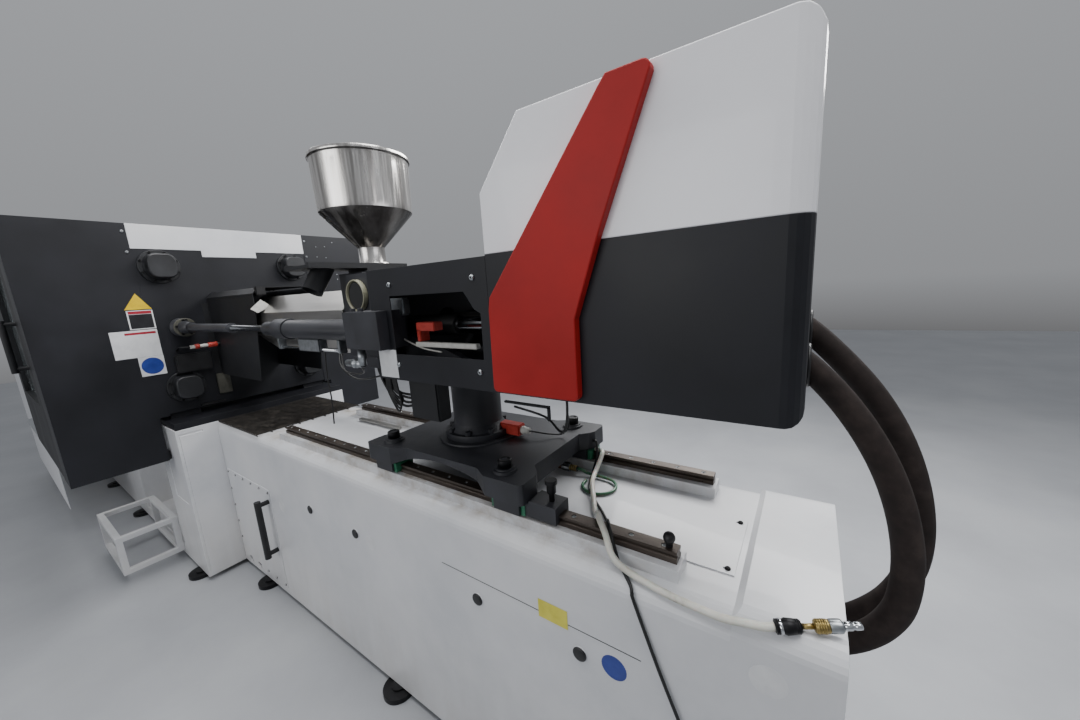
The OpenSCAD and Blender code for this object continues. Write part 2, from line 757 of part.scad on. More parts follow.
// Half of the casting's outline, with an ear at each corner: side 1 is the rear, side -1 the front
ear_w = 74;
ear_len = 136;
casting_waist = 30;
casting_bay = 40;
seal_t = 14;
arch_rise = 42;
arch_half = cast_len / 2 - ear_len;
arch_r = (arch_half * arch_half + arch_rise * arch_rise) / (2 * arch_rise);
function casting_edge(side) = let (e = side > 0 ? cast_rear_x : cast_front_x, w = cast_half_w,
    c = [e - side * casting_bay, 0], r = 14,
    half = concat(
        [[e - side * (ear_len + 54), -w + casting_waist], [e - side * ear_len, -w]],
        arc([e - side * r, -w + r], r, side > 0 ? [270, 360] : [270, 180], 4),
        [[e, -w + ear_w], [e - side * 12, -w + ear_w + 22], [c[0], -w + ear_w + 50]]))
    side > 0 ? concat(half, [for (i = [len(half) - 1 : -1 : 0]) [half[i][0], -half[i][1]]])
        : concat([for (i = [0 : len(half) - 1]) [half[i][0], -half[i][1]]], [for (i = [len(half) - 1 : -1 : 0]) half[i]]);
module carriage_casting() {
    x = [cast_front_x, cast_rear_x];
    mid = (x[0] + x[1]) / 2;
    color("#2d2f34") {
        difference() {
            union() {
                plan_view([cast_low_z, cast_top_z]) polygon(concat(casting_edge(1), casting_edge(-1)));
                for (px = bolt_x, y = [-rail_y, rail_y]) bar_z([cast_top_z - 1, cast_top_z + 8], 74, px, y);
                bar_z([cast_top_z - 1, cast_top_z + 6], column_foot_d + 46, column_x);
            }
            bar_y([-cast_half_w - 1, cast_half_w + 1], 2 * arch_r, mid, cast_low_z + arch_rise - arch_r, $fn = 180);
            block([x[0] + 150, x[1] - 150], [-cast_half_w + 60, cast_half_w - 60], [cast_low_z - 1, cast_top_z - 26]);
        }
    }
    color("#17181a")
        for (px = bolt_x, y = [-rail_y, rail_y]) {
            bar_z([cast_top_z + 7, cast_top_z + 12], 58, px, y);
            bar_z([cast_top_z + 11, cast_top_z + 34], 42, px, y, $fn = 6);
        }
    color("peru") {
        bar_z([drain_z, cast_top_z - 25], 25, drain_x[0], drain_y);
        translate([drain_x[0], drain_y, drain_z]) sphere(d = 25);
        bar_x([drain_x[0], drain_x[1]], 25, drain_y, drain_z);
        bar_x([drain_x[1] - 14, drain_x[1] + 16], 32, drain_y, drain_z, $fn = 6);
        bar_x([drain_x[1] + 15, drain_x[2]], 20, drain_y, drain_z);
    }
}

drain_x = [2484, 2520, 2566];
drain_y = 112;
drain_z = deck_z + tray_t + 18;

lock_block_x = [block_x[1] + block_len / 2 + seal_t, cast_rear_x + 92];
lock_x = lock_block_x[1] - 32;
module bearing_blocks() {
    color("#35373c") {
        for (px = block_x, y = [-rail_y, rail_y])
            difference() {
                block([px - block_len / 2, px + block_len / 2], [y - block_w / 2, y + block_w / 2],
                    [rail_base_z + 7, cast_low_z]);
                front_view([px - block_len / 2 - 1, px + block_len / 2 + 1])
                    translate([y, 0]) polygon(rail_section(slide_gap));
            }
        difference() {
            union() {
                block([lock_block_x[0], cast_rear_x + 4], [-rail_y - 34, -rail_y + 34], [rail_base_z + 7, cast_low_z]);
                block([cast_rear_x + 3, lock_block_x[1]], [-rail_y - 34, -rail_y + 34], [rail_base_z + 7, lock_top_z]);
            }
            front_view([lock_block_x[0] - 1, lock_block_x[1] + 1])
                translate([-rail_y, 0]) polygon(rail_section(slide_gap));
            bar_z([rail_top_z, lock_top_z + 1], lock_pin_d + 2 * run_gap, lock_x, -rail_y);
        }
    }
}

module block_seals() {
    color("seagreen") {
        for (px = block_x, y = [-rail_y, rail_y], s = [-1, 1])
            difference() {
                translate([px + s * (block_len / 2 + seal_t / 2), 0, 0])
                    block([-seal_t / 2, seal_t / 2], [y - block_w / 2 + 8, y + block_w / 2 - 8],
                        [rail_base_z + 6, cast_low_z - 7]);
                front_view([px + s * (block_len / 2 + seal_t / 2) - seal_t, px + s * (block_len / 2 + seal_t / 2) + seal_t])
                    translate([y, 0]) polygon(rail_section(slide_gap));
            }
    }
}

column_low_z = cast_top_z + 6;
module column() {
    color("#2b2d31") {
        bar_z([column_low_z, column_low_z + 22], column_foot_d, column_x);
        translate([column_x, 0, column_low_z + 21]) cylinder(d1 = column_d + 34, d2 = column_d, h = 26);
        bar_z([column_low_z + 46, unit_low_z - 24], column_d, column_x);
        bar_z([unit_low_z - 25, unit_low_z], column_foot_d, column_x);
        for (a = [22.5:45:360])
            translate([column_x, 0, column_low_z + 21.5]) rotate([0, 0, a])
                translate([column_foot_d / 2 - 16, 0, 0]) cylinder(d = 22, h = 14, $fn = 6);
    }
}

throat_half_w = 132;
housing_rear_x = 2104;
tail_x_low = 2470;
rod_front_x = 1990;
module injection_housing() {
    color("#2b2d31") {
        difference() {
            union() {
                block([throat_front_x, housing_x + 1], [-throat_half_w, throat_half_w], [unit_low_z + 20, housing_top_z]);
                block([housing_x, traverse_block[0] + 1], [-housing_front_half_w, housing_front_half_w],
                    [unit_low_z + 20, housing_top_z - 12]);
                block([traverse_block[0], housing_rear_x], [-housing_half_w, housing_half_w],
                    [unit_low_z + 20, housing_top_z - 12]);
                block([housing_x, tail_x_low], [-housing_half_w + 30, housing_half_w - 30],
                    [unit_low_z, unit_low_z + 36]);
                for (y = [-190, 190])
                    side_view([y - 12, y + 12])
                        polygon([[housing_rear_x - 4, unit_low_z + 30], [tail_x_low - 30, unit_low_z + 30],
                            [housing_rear_x + 196, unit_low_z + 78], [housing_rear_x - 4, unit_low_z + 130]]);
                bar_x([throat_front_x - 34, throat_front_x + 1], 190);
            }
            bar_x([throat_front_x - 35, hopper_x + 100], barrel_d + 2 * run_gap);
            bar_x([hopper_x + 99, housing_rear_x + 6], screw_d + 46);
            bar_z([axis_z, housing_top_z + 1], 60, hopper_x);
            for (y = [-rod_y, rod_y]) bar_x([rod_front_x, housing_rear_x + 6], guide_rod_d + 2 * run_gap, y);
        }
    }
}

barrel_x = [nozzle_tip_x + 138, hopper_x + 95];
module barrel() {
    color("gray") {
        difference() {
            union() {
                bar_x([barrel_x[0] + 60, barrel_x[1]], barrel_d);
                bar_x([barrel_x[0], barrel_x[0] + 61], barrel_d + 22);
            }
            bar_x([barrel_x[0] + 40, barrel_x[1] + 1], screw_d + 2 * run_gap);
            bar_x([barrel_x[0] - 1, barrel_x[0] + 41], 24);
            bar_z([axis_z, axis_z + barrel_d], 44, hopper_x);
        }
    }
    nozzle();
    heater_bands();
}

band_n = 4;
band_w = 150;
module nozzle() {
    x = nozzle_tip_x;
    color("dimgray") {
        difference() {
            union() {
                translate([x, 0, axis_z]) rotate([0, 90, 0]) cylinder(d1 = 22, d2 = 46, h = 18);
                bar_x([x + 17, x + 96], 58);
                bar_x([x + 95, barrel_x[0] + 1], 74, $fn = 6);
            }
            bar_x([x - 1, barrel_x[0] + 2], 8);
        }
    }
}

module heater_bands() {
    first = shroud_front_x + 45;
    pitch = (throat_front_x - 60 - first) / band_n;
    color("silver")
        for (i = [0 : band_n - 1])
            difference() {
                bar_x([first + i * pitch, first + i * pitch + band_w], barrel_d + 24);
                bar_x([first + i * pitch - 1, first + i * pitch + band_w + 1], barrel_d - 1);
            }
}

function octagon(af) = let (h = af / 2, k = h * tan(22.5)) [
    [h, -k], [h, k], [k, h], [-k, h], [-h, k], [-h, -k], [-k, -h], [k, -h]];

module barrel_guard() {
    x = [shroud_front_x, throat_front_x - 4];
    color("lightgray") {
        difference() {
            union() {
                front_view(x) translate([0, axis_z]) polygon(octagon(shroud_af));
            }
            front_view([x[0] - 1, x[1] + 1]) translate([0, axis_z]) polygon(octagon(shroud_af - 5));
        }
        for (px = [x[0] + 20, x[1] - 60])
            difference() {
                front_view([px, px + 12]) translate([0, axis_z]) polygon(octagon(shroud_af - 5));
                bar_x([px - 1, px + 13], barrel_d + 0.1);
            }
    }
}

module traverse_cylinders() {
    ring_x = traverse_gland_x + gland_len;
    color("#3a3d44") both_sides() {
        difference() {
            union() {
                bar_x([traverse_gland_x, ring_x + 1], traverse_d - 13, traverse_y);
                bar_x([ring_x, ring_x + gland_ring_len], traverse_d + 9, traverse_y);
                bar_x([ring_x + gland_ring_len - 1, traverse_block[0] + 1], traverse_d, traverse_y);
                block(traverse_block, [housing_half_w, traverse_y + traverse_block_half_w], [axis_z - 56, axis_z + 60]);
            }
            bar_x([traverse_gland_x - 1, traverse_gland_x + 80], traverse_rod_d + 2 * run_gap, traverse_y);
            bar_x([traverse_gland_x + 79, traverse_block[1] - 20], traverse_bore_d, traverse_y);
        }
        for (px = [traverse_block[0] + 20, traverse_block[0] + 64])
            bar_z([axis_z + 59, axis_z + 70], 18, px, traverse_y + 10, $fn = 6);
    }
    position_rod();
}

// Rod that reads the carriage's place, with its pickup and the elbow for its lead
rod_low_z = axis_z - 72;
module position_rod() {
    y = -traverse_y;
    rod_x = [traverse_gland_x + gland_len - 5, traverse_block[0] - 84];
    color("silver") {
        bar_x(rod_x, 12, y, rod_low_z);
        for (px = [rod_x[0], rod_x[1] - 16])
            block([px, px + 16], [y - 12, y + 12], [rod_low_z - 1, axis_z - traverse_d / 2 + 4]);
        block([rod_x[0] + 180, rod_x[0] + 330], [y - 15, y + 15], [rod_low_z - 8, axis_z - traverse_d / 2 + 1]);
        bar_z([rod_low_z - 40, axis_z - 55], 24, traverse_block[0] + 20, y);
        translate([traverse_block[0] + 20, y, rod_low_z - 40]) sphere(d = 24);
        bar_x([traverse_block[0] - 70, traverse_block[0] + 20], 22, y, rod_low_z - 40);
        bar_x([traverse_block[0] - 30, traverse_block[0] - 18], 30, y, rod_low_z - 40, $fn = 6);
    }
}

cap_depth = 18;
cap_wall = 5;
module round_cap() {
    x = housing_x + 73;
    z = axis_z + 55 + cap_d / 2;
    y = -housing_front_half_w;
    color("darkkhaki") difference() {
        bar_y([y - cap_depth, y], cap_d, x, z);
        bar_y([y - cap_depth - 1, y - 4], cap_d - 2 * cap_wall, x, z);
    }
}

slide_plate_t = 12;
slide_half_w = 90;
chute_d = 72;
module hopper_slide() {
    y = [-hopper_stroke - 108, 100];
    z = slide_top_z - slide_plate_t;
    color("#1d1e21") {
        difference() {
            union() {
                block([hopper_x - slide_half_w, hopper_x + slide_half_w], y, [z, slide_top_z]);
                for (s = [-1, 1])
                    translate([hopper_x + s * (slide_half_w - 5), 0, 0]) block([-5, 5], y, [slide_top_z - 1, slide_top_z + 8]);
                block([throat_front_x, hopper_x + slide_half_w], [-90, 90], [housing_top_z, z + 1]);
                difference() {
                    chute(chute_d, 100);
                    block([hopper_x - 60, hopper_x + 60], [-hopper_stroke - 60, -hopper_stroke + 60], [z + 1, z + 60]);
                }
            }
            bar_z([housing_top_z - 1, slide_top_z + 1], 60, hopper_x);
            bar_z([z - 1, slide_top_z + 1], 60, hopper_x, -hopper_stroke);
            difference() {
                chute(chute_d - 6, 104);
                block([hopper_x - 60, hopper_x + 60], [-hopper_stroke - 60, -hopper_stroke + 60], [z, z + 60]);
            }
        }
    }
}
chute_slope = 33;
module chute(d, len) {
    translate([hopper_x, -hopper_stroke, slide_top_z - slide_plate_t + 20]) rotate([-chute_slope, 0, 0])
        translate([0, 0, -len - 20]) cylinder(d = d, h = len + 20);
}

rod_y = 150;
guide_rod_d = 52;
rear_plate_x = 3110;
module guide_rods() {
    color("silver") both_sides() bar_x([rod_front_x + 0.3, rear_plate_x + 50], guide_rod_d, rod_y);
    color("#2b2d31") {
        difference() {
            block([rear_plate_x, rear_plate_x + 40], [-cover_half_w + cover_wall + 0.3, cover_half_w - cover_wall - 0.3],
                [axis_z - 90, axis_z + 90]);
            for (y = [-rod_y, rod_y]) bar_x([rear_plate_x - 1, rear_plate_x + 41], guide_rod_d, y);
        }
    }
}

panel_sheet = 3;
window_x = [2205, 2556];
window_z = [1430, 1601];
module beam_panels() {
    x = [housing_rear_x + 2, cover_front_x - 0.5];
    y = [cover_half_w - panel_sheet, cover_half_w];
    color("#2b2d31") both_sides() {
        difference() {
            block(x, y, [unit_low_z, cover_seam_z - 3]);
            block([x[0] - 1, traverse_block[1] + 1], [y[0] - 1, y[1] + 1], [axis_z - 57, axis_z + 61]);
            side_view([y[0] - 1, y[1] + 1])
                polygon([[window_x[0], window_z[0]], [window_x[1], window_z[0]], [window_x[1] + 2, window_z[1] - 55],
                    [window_x[1] - 18, window_z[1] - 45], [window_x[1] - 50, window_z[1]], [window_x[0], window_z[1]]]);
        }
        for (z = [unit_low_z, cover_seam_z - 3 - panel_sheet])
            block(x, [y[0] - 24, y[1]], [z, z + panel_sheet]);
        for (px = [housing_rear_x + 46, tail_x_low - 50])
            block([px, px + 40], [housing_half_w - 30, y[0] - 20], [unit_low_z, unit_low_z + panel_sheet]);
        for (px = [2212, 2541], z = [1398, 1633]) bar_y([y[1] - 0.5, y[1] + 4], 13, px, z);
    }
    color("#2b2d31")
        block(x, [-cover_half_w + 20, cover_half_w - 20],
            [cover_seam_z - 3 - panel_sheet, cover_seam_z - 3]);
}

// Side view of the rear cover: sloped front corner, rounded rear corners
cover_slope = [118, 140];
function cover_profile(i, low) = concat(
    [[cover_front_x + i, low]],
    arc([cover_rear_x - 26, unit_low_z + 26 + i], 26 - i, [-90, 0], 4),
    arc([cover_rear_x - 36, cover_top_z - 36], 36 - i, [0, 90], 4),
    [[cover_front_x + cover_slope[0] + i * 0.4, cover_top_z - i], [cover_front_x + i, cover_top_z - cover_slope[1] - i * 0.4]]);
function cover_plan(i) = let (r = 34) concat(
    [[cover_front_x + i, -cover_half_w + i]],
    arc([cover_rear_x - r, -cover_half_w + r], r - i, [-90, 0], 5),
    arc([cover_rear_x - r, cover_half_w - r], r - i, [0, 90], 5),
    [[cover_front_x + i, cover_half_w - i]]);

module cover_shell(z) {
    difference() {
        intersection() {
            side_view([-cover_half_w, cover_half_w]) polygon(cover_profile(0, unit_low_z));
            plan_view(z) polygon(cover_plan(0));
        }
        intersection() {
            side_view([-cover_half_w, cover_half_w]) polygon(cover_profile(cover_wall, unit_low_z + cover_wall));
            plan_view([z[0] - 30, z[1] + 1]) polygon(cover_plan(cover_wall));
        }
        block([cover_front_x - 1, cover_front_x + cover_wall + 1], [-cover_half_w + 60, cover_half_w - 60],
            [unit_low_z + 30, cover_seam_z - 20]);
    }
}

module lower_cover() {
    color("#2b2d31") {
        difference() {
            cover_shell([unit_low_z - 1, cover_seam_z]);
            for (h = hose_start)
                bar_x([cover_rear_x - cover_wall - 2, cover_rear_x + 1], hose_hole_d, h[0], h[1]);
            block([cover_front_x + 40, rear_plate_x - 10], [-cover_half_w + 50, cover_half_w - 50],
                [unit_low_z - 1, unit_low_z + cover_wall + 1]);
        }
    }
}

module upper_cover() {
    color("white") cover_shell([cover_seam_z + 0.0, cover_top_z + 1]);
}

hose_start = [[-hose_y, 1410], [hose_y, 1466]];

module red_bands() {
    y = [cover_half_w, cover_half_w + band_t];
    color("firebrick") both_sides()
        side_view(y)
            polygon(concat(
                arc([2612, 1371], 12, [180, 270], 3), arc([2819, 1371], 12, [270, 360], 3),
                [[2831, 1532], [2886, 1683]],
                arc([2976, 1938], 14, [-10, 90], 4),
                [[2911, 1952], [2900, 1940], [2609, 1583], [2604, 1555]]));
}

cross_x = 2660;
cross_t = 70;
module crosshead() {
    color("#3a3d42") {
        difference() {
            block([cross_x, cross_x + cross_t], [-220, 220], [axis_z - 80, axis_z + 80]);
            for (y = [-rod_y, rod_y]) bar_x([cross_x - 1, cross_x + cross_t + 1], guide_rod_d + 2 * run_gap, y);
            bar_x([cross_x - 1, cross_x + cross_t + 1], 90 + 2 * run_gap);
        }
        difference() {
            bar_x([cross_x + cross_t - 1, cross_x + cross_t + 190], 210);
            bar_x([cross_x + cross_t - 2, cross_x + cross_t + 60], 90 + 2 * run_gap);
        }
    }
}

module screw() {
    color("silver") {
        tip_x = barrel_x[0] + screw_stroke + 45;
        translate([tip_x, 0, axis_z]) rotate([0, 90, 0]) cylinder(d1 = 6, d2 = screw_d - 8, h = 40);
        bar_x([tip_x + 39, barrel_x[1] + screw_stroke + 10], screw_d);
        bar_x([barrel_x[1] + screw_stroke + 9, 2330], screw_d + 10);
        bar_x([2329, 2450], 130);
        bar_x([2449, cross_x + cross_t + 50], 90);
    }
}

cone_z = 1940;
module hopper() {
    w = hopper_wall;
    r = hopper_d / 2;
    s = spout_d / 2;
    z = [slide_top_z + 10, cone_z - cone_h, cone_z, hopper_top_z];
    color("silver") translate([hopper_x, 0, 0]) rotate_extrude($fn = 96)
        polygon([[s - w, z[0]], [s, z[0]], [s, z[1]], [r, z[2]], [r + 6, z[3] - 16], [r + 12, z[3] - 12],
            [r + 12, z[3]], [r + 5, z[3]], [r + 4, z[3] - 4], [r - w, z[2] + 1], [s - w, z[1] + 1]]);
    color("#1d1e21")
        difference() {
            union() {
                block([hopper_x - slide_half_w + 10.4, hopper_x + slide_half_w - 10.4], [-96, 96],
                    [slide_top_z + 0.3, slide_top_z + 8]);
                bar_z([slide_top_z + 7.5, slide_top_z + 14], spout_d + 34, hopper_x);
            }
            bar_z([slide_top_z - 1, slide_top_z + 10.5], 60, hopper_x);
            bar_z([slide_top_z + 10, slide_top_z + 15], spout_d, hopper_x);
        }
}

lock_pin_d = 16;
lock_top_z = cast_low_z + 8;
module lock_pin() {
    color("black") {
        bar_z([rail_top_z + 3, lock_top_z + 34], lock_pin_d, lock_x, -rail_y);
        bar_z([lock_top_z + 24, lock_top_z + 50], 26, lock_x, -rail_y);
        bar_z([lock_top_z + 50, lock_top_z + 62], 34, lock_x, -rail_y);
    }
}

// A ring of corners at each point of a line, square to the line there, carried on without twist
function unit(v) = v / norm(v);
function way(p, i) = unit(p[min(i + 1, len(p) - 1)] - p[max(i - 1, 0)]);
function turned(p, i, m) = i == len(p) ? [] :
    let (t = way(p, i), n = unit(m - (m * t) * t)) concat([[n, cross(t, n)]], turned(p, i + 1, n));
module tube(p, d, m, sides = 8) {
    f = turned(p, 0, m);
    n = len(p) - 1;
    polyhedron(
        [for (i = [0 : n], k = [0 : sides - 1]) let (a = 360 * k / sides) p[i] + d / 2 * (cos(a) * f[i][0] + sin(a) * f[i][1])],
        concat([[for (k = [0 : sides - 1]) k], [for (k = [sides - 1 : -1 : 0]) n * sides + k]],
            [for (i = [0 : n - 1], k = [0 : sides - 1], half = [0, 1])
                let (a = i * sides + k, b = i * sides + (k + 1) % sides) half ? [a, a + sides, b + sides] : [a, b + sides, b]]));
}

// Hoses from the rear cover to the base, in a loop with room for the carriage's travel
near_hose_line = [[3165.4, -60, 1448], [3222, -60, 1408], [3284, -60, 1339], [3334, -60, 1262], [3371, -60, 1182],
    [3396, -60, 1096], [3408, -60, 1008], [3404, -60, 924], [3383, -60, 865], [3351, -60, 820], [3316, -60, 789],
    [3282, -60, 768]];
far_hose_line = [[3165.4, 60, 1506], [3222, 60, 1466], [3284, 60, 1402], [3338, 60, 1334], [3380, 60, 1262],
    [3412, 60, 1184], [3434, 60, 1098], [3443, 60, 1010], [3436, 60, 930], [3408, 60, 853], [3366, 60, 793],
    [3320, 60, 751], [3282.4, 60, 729]];
module near_hose() {
    color("dimgray") tube(near_hose_line, hose_d, [0, 1, 0], 12);
}
module far_hose() {
    color("dimgray") tube(far_hose_line, hose_d, [0, 1, 0], 12);
}

// Air hose from the far bearing block over the near rail to a quick coupling
air_d = 16;
air_line = [[2593.3, 200, 1004], [2606, 200, 1004], [2625, 190, 1005], [2636, 170, 1003], [2638, 136, 980],
    [2640, 100, 962], [2654, 56, 961], [2674, 14, 966], [2700, -32, 961], [2728, -80, 952], [2756, -124, 963],
    [2782, -168, 1000], [2806, -204, 1008], [2838, -240, 1001], [2866, -264, 967], [2904, -268, 945], [2950, -273, 938],
    [3000, -279, 934], [3100, -285, 933], [3150, -288, 945],
    [3180, -287, 951], [3197, -280, 954]];
air_end = [3327, -227, 975];
module air_hose() {
    color("gainsboro") tube(air_line, air_d, [0, 0, 1]);
}

// Turned parts along a line from one point to another, each with its length and diameter
module on_line(a, b) {
    v = b - a;
    translate(a) rotate([0, acos(v[2] / norm(v)), atan2(v[1], v[0])]) children();
}
module air_coupling() {
    a = air_line[len(air_line) - 1];
    color("silver") on_line(a, air_end) {
        translate([0, 0, 0.4]) cylinder(d = 18, h = 30);
        translate([0, 0, 29]) cylinder(d = 14, h = 24);
        translate([0, 0, 52]) cylinder(d = 24, h = 38);
        translate([0, 0, 89]) cylinder(d = 26, h = 20, $fn = 6);
        translate([0, 0, 108]) cylinder(d = 15, h = norm(air_end - a) - 108);
    }
}

// Black cable from the casting down the side of the base, coiled on the floor with its plug on top
cable_d = 8;
coil_d = 88;
coil_at = [3138, -560, 0];
cable_line = [[2599.5, 178, 1044], [2611, 177, 1042], [2621, 160, 1004], [2623, 136, 974], [2628, 104, 954],
    [2644, 54, 951], [2664, 10, 956], [2686, -14, 951], [2716, -40, 943], [2752, -76, 943], [2793, -128, 950], [2820, -186, 1002],
    [2846, -226, 1001], [2862, -243, 977], [2872, -249, 955], [2882, -256, 943], [2916, -282, 924], [2924, -292, 912],
    [2930, -295, 894], [2984, -297, 750], [3060, -300, 560], [3082, -304, 440], [3090, -312, 300], [3091, -346, 140],
    [3088, -400, 40], [3086, -460, 9], [3085.5, -528.7, 9]];
module sensor_cable() {
    color("black") tube(cable_line, cable_d, [0, 0, 1]);
}
module cable_coil() {
    color("black") translate(coil_at) rotate_extrude() translate([coil_d / 2 - 12.5, 0.5]) square([26, 17]);
}
module cable_plug() {
    color("black") translate([coil_at[0] - 28, coil_at[1] - coil_d / 2 + 1, 26.3]) rotate([0, 90, 0]) {
        cylinder(d = 13, h = 20);
        translate([0, 0, 19]) cylinder(d = 17, h = 22);
        translate([0, 0, 40]) cylinder(d = 14, h = 17);
    }
}

// Green drain hose that ends in a loose ring on the deck
drain_d = 10;
drain_line = [[2566.3, 112, 956], [2580, 112, 956], [2602, 115, 948], [2632, 117, 944], [2662, 116, 944], [2696, 111, 944],
    [2720, 92, 944], [2730, 64, 944], [2724, 34, 944], [2702, 12, 944], [2672, 5, 944], [2643, 16, 944], [2624, 40, 944],
    [2620, 72, 944]];
module drain_hose() {
    color("seagreen") tube(drain_line, drain_d, [0, 0, 1]);
}

injection_base();
tray_plate();
drip_grating();
access_panel();
access_handle();
near_rail();
far_rail();
rail_stop();
levelling_feet();
clamp_base();
operator_step();
guide_ways();
fixed_platen();
tie_bars();
tie_bar_nuts();
nut_covers();
cylinder_platen();
white_strip();
front_panels();
guard_frame();
side_guards();
gate_tracks();
traverse_rods();
nozzle_guard();
moving_platen();
platen_shoes();
ram();
ejector();
near_gate();
near_gate_window();
far_gate();
far_gate_window();
nozzle_guard_lid();
carriage_casting();
bearing_blocks();
block_seals();
column();
injection_housing();
barrel();
barrel_guard();
traverse_cylinders();
round_cap();
hopper_slide();
guide_rods();
beam_panels();
lower_cover();
upper_cover();
red_bands();
crosshead();
screw();
hopper();
lock_pin();
near_hose();
far_hose();
air_hose();
air_coupling();
sensor_cable();
cable_coil();
cable_plug();
drain_hose();
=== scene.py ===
# %% [markdown]
# # Dressing an injection moulding machine
# The frame brings every solid of the machine in its right place, in metres, with X along the machine,
# Y across it and Z up. This lesson gives those solids their finishes, lays the hoses and cables over
# them, adds the small hardware that a plain solid lacks, and sets the camera and the light.

# %% Load the frame
import math
import bmesh
import bpy
from mathutils import Matrix, Vector


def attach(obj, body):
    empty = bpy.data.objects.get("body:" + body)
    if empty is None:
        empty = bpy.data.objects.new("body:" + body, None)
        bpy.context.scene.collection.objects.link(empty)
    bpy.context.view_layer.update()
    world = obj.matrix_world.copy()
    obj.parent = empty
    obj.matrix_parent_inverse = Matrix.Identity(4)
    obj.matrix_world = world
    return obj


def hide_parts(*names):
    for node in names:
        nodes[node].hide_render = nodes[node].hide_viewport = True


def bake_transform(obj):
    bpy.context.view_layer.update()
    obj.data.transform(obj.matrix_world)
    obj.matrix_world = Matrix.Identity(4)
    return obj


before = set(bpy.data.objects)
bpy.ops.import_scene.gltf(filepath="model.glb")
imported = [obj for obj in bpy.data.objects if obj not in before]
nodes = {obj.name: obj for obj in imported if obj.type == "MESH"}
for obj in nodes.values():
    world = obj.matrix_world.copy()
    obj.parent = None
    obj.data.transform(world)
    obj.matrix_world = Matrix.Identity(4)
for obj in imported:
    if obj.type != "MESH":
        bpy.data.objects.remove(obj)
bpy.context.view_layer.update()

# %% [markdown]
# A colour picked on a screen is an sRGB value, and Blender's sockets want linear light. One function
# turns one into the other. A second one adds a node to a tree with its settings, values and links,
# so that a whole material reads as a short list.

# %% Colours and nodes


def linear(code):
    """A hex colour such as #C0C0C0 as the linear numbers of a colour socket."""
    channels = [int(code[i : i + 2], 16) / 255 for i in (1, 3, 5)]
    return [c / 12.92 if c <= 0.04045 else ((c + 0.055) / 1.055) ** 2.4 for c in channels] + [1]


def add(tree, kind, values=None, links=None, **settings):
    """Adds one node. Values set sockets, and links join sockets to (node, output) pairs."""
    made = tree.nodes.new(kind)
    for key, value in settings.items():
        setattr(made, key, value)
    for key, value in (values or {}).items():
        made.inputs[key].default_value = value
    for key, (source, output) in (links or {}).items():
        tree.links.new(source.outputs[output], made.inputs[key])
    return made


def ramp(tree, source, output, stops):
    """A colour ramp with stops of (place, colour)."""
    made = add(tree, "ShaderNodeValToRGB", links={"Fac": (source, output)})
    elements = made.color_ramp.elements
    while len(elements) < len(stops):
        elements.new(0.5)
    for element, (place, colour) in zip(elements, stops):
        element.position = place
        element.color = colour
    return made


# %% [markdown]
# Most surfaces here share one build: a tone that drifts over hand-sized patches, a finer grain that
# the light catches, and a gloss that varies where hands and oil have been. The patch and grain sizes
# are given in millimetres, and the pattern reads Object coordinates, so it stays on the metal when
# a part slides. A stretch pulls the grain along one axis, as brushing or drawing does.

# %% A finish with patches and grain


def finish_of(name, tones, patch_mm, rough, grain_mm=3.0, grain_depth_mm=0.05, metallic=0.0, coat=0.0,
              stretch=(1, 1, 1), specular=0.5):
    """A new material: tones are hex colours from the darkest patches to the lightest."""
    made = bpy.data.materials.new(name)
    made.use_nodes = True
    tree = made.node_tree
    shader = tree.nodes["Principled BSDF"]
    place = add(tree, "ShaderNodeTexCoord")
    pulled = add(tree, "ShaderNodeMapping", {"Scale": stretch}, {"Vector": (place, "Object")})
    patches = add(tree, "ShaderNodeTexNoise", {"Scale": 1000 / patch_mm, "Detail": 6, "Roughness": 0.6},
                  {"Vector": (pulled, "Vector")})
    stops = [(0.3 + 0.4 * i / (len(tones) - 1), linear(tone)) for i, tone in enumerate(tones)]
    tone = ramp(tree, patches, "Fac", stops)
    grain = add(tree, "ShaderNodeTexNoise", {"Scale": 1000 / grain_mm, "Detail": 3},
                {"Vector": (pulled, "Vector")})
    bump = add(tree, "ShaderNodeBump", {"Strength": 0.6, "Distance": grain_depth_mm / 1000},
               {"Height": (grain, "Fac")})
    gloss = add(tree, "ShaderNodeMapRange",
                {"From Min": 0.3, "From Max": 0.7, "To Min": rough[0], "To Max": rough[1]},
                {"Value": (patches, "Fac")})
    tree.links.new(tone.outputs["Color"], shader.inputs["Base Color"])
    tree.links.new(gloss.outputs["Result"], shader.inputs["Roughness"])
    tree.links.new(bump.outputs["Normal"], shader.inputs["Normal"])
    shader.inputs["Metallic"].default_value = metallic
    shader.inputs["Coat Weight"].default_value = coat
    shader.inputs["Specular IOR Level"].default_value = specular
    return made


# %% [markdown]
# The two bases are welded from steel sheet and sprayed with a white two-pack enamel. Up close it has
# a faint orange peel. Years of oil have left a warm brown veil beside the rails, and the paint turns
# darker towards the floor in streaks, so these tones are mixed over the paint by height and by distance from
# the rails.

# %% White enamel with oil stains
RAIL_Y = 203
enamel_white = finish_of("white two-pack enamel", ["#C4C6CA", "#D1D2D5", "#DADADB"], 420, (0.28, 0.42),
                         grain_mm=5, grain_depth_mm=0.05, coat=0.15)


def stain(material, colour, mask_of):
    """Mixes a stain colour over a material's own colour, by the mask that mask_of builds."""
    tree = material.node_tree
    shader = tree.nodes["Principled BSDF"]
    old = shader.inputs["Base Color"].links[0]
    mask, output = mask_of(tree)
    mixed = add(tree, "ShaderNodeMix", {7: linear(colour)}, {0: (mask, output)}, data_type="RGBA")
    tree.links.new(old.from_socket, mixed.inputs[6])
    tree.links.new(mixed.outputs[2], shader.inputs["Base Color"])


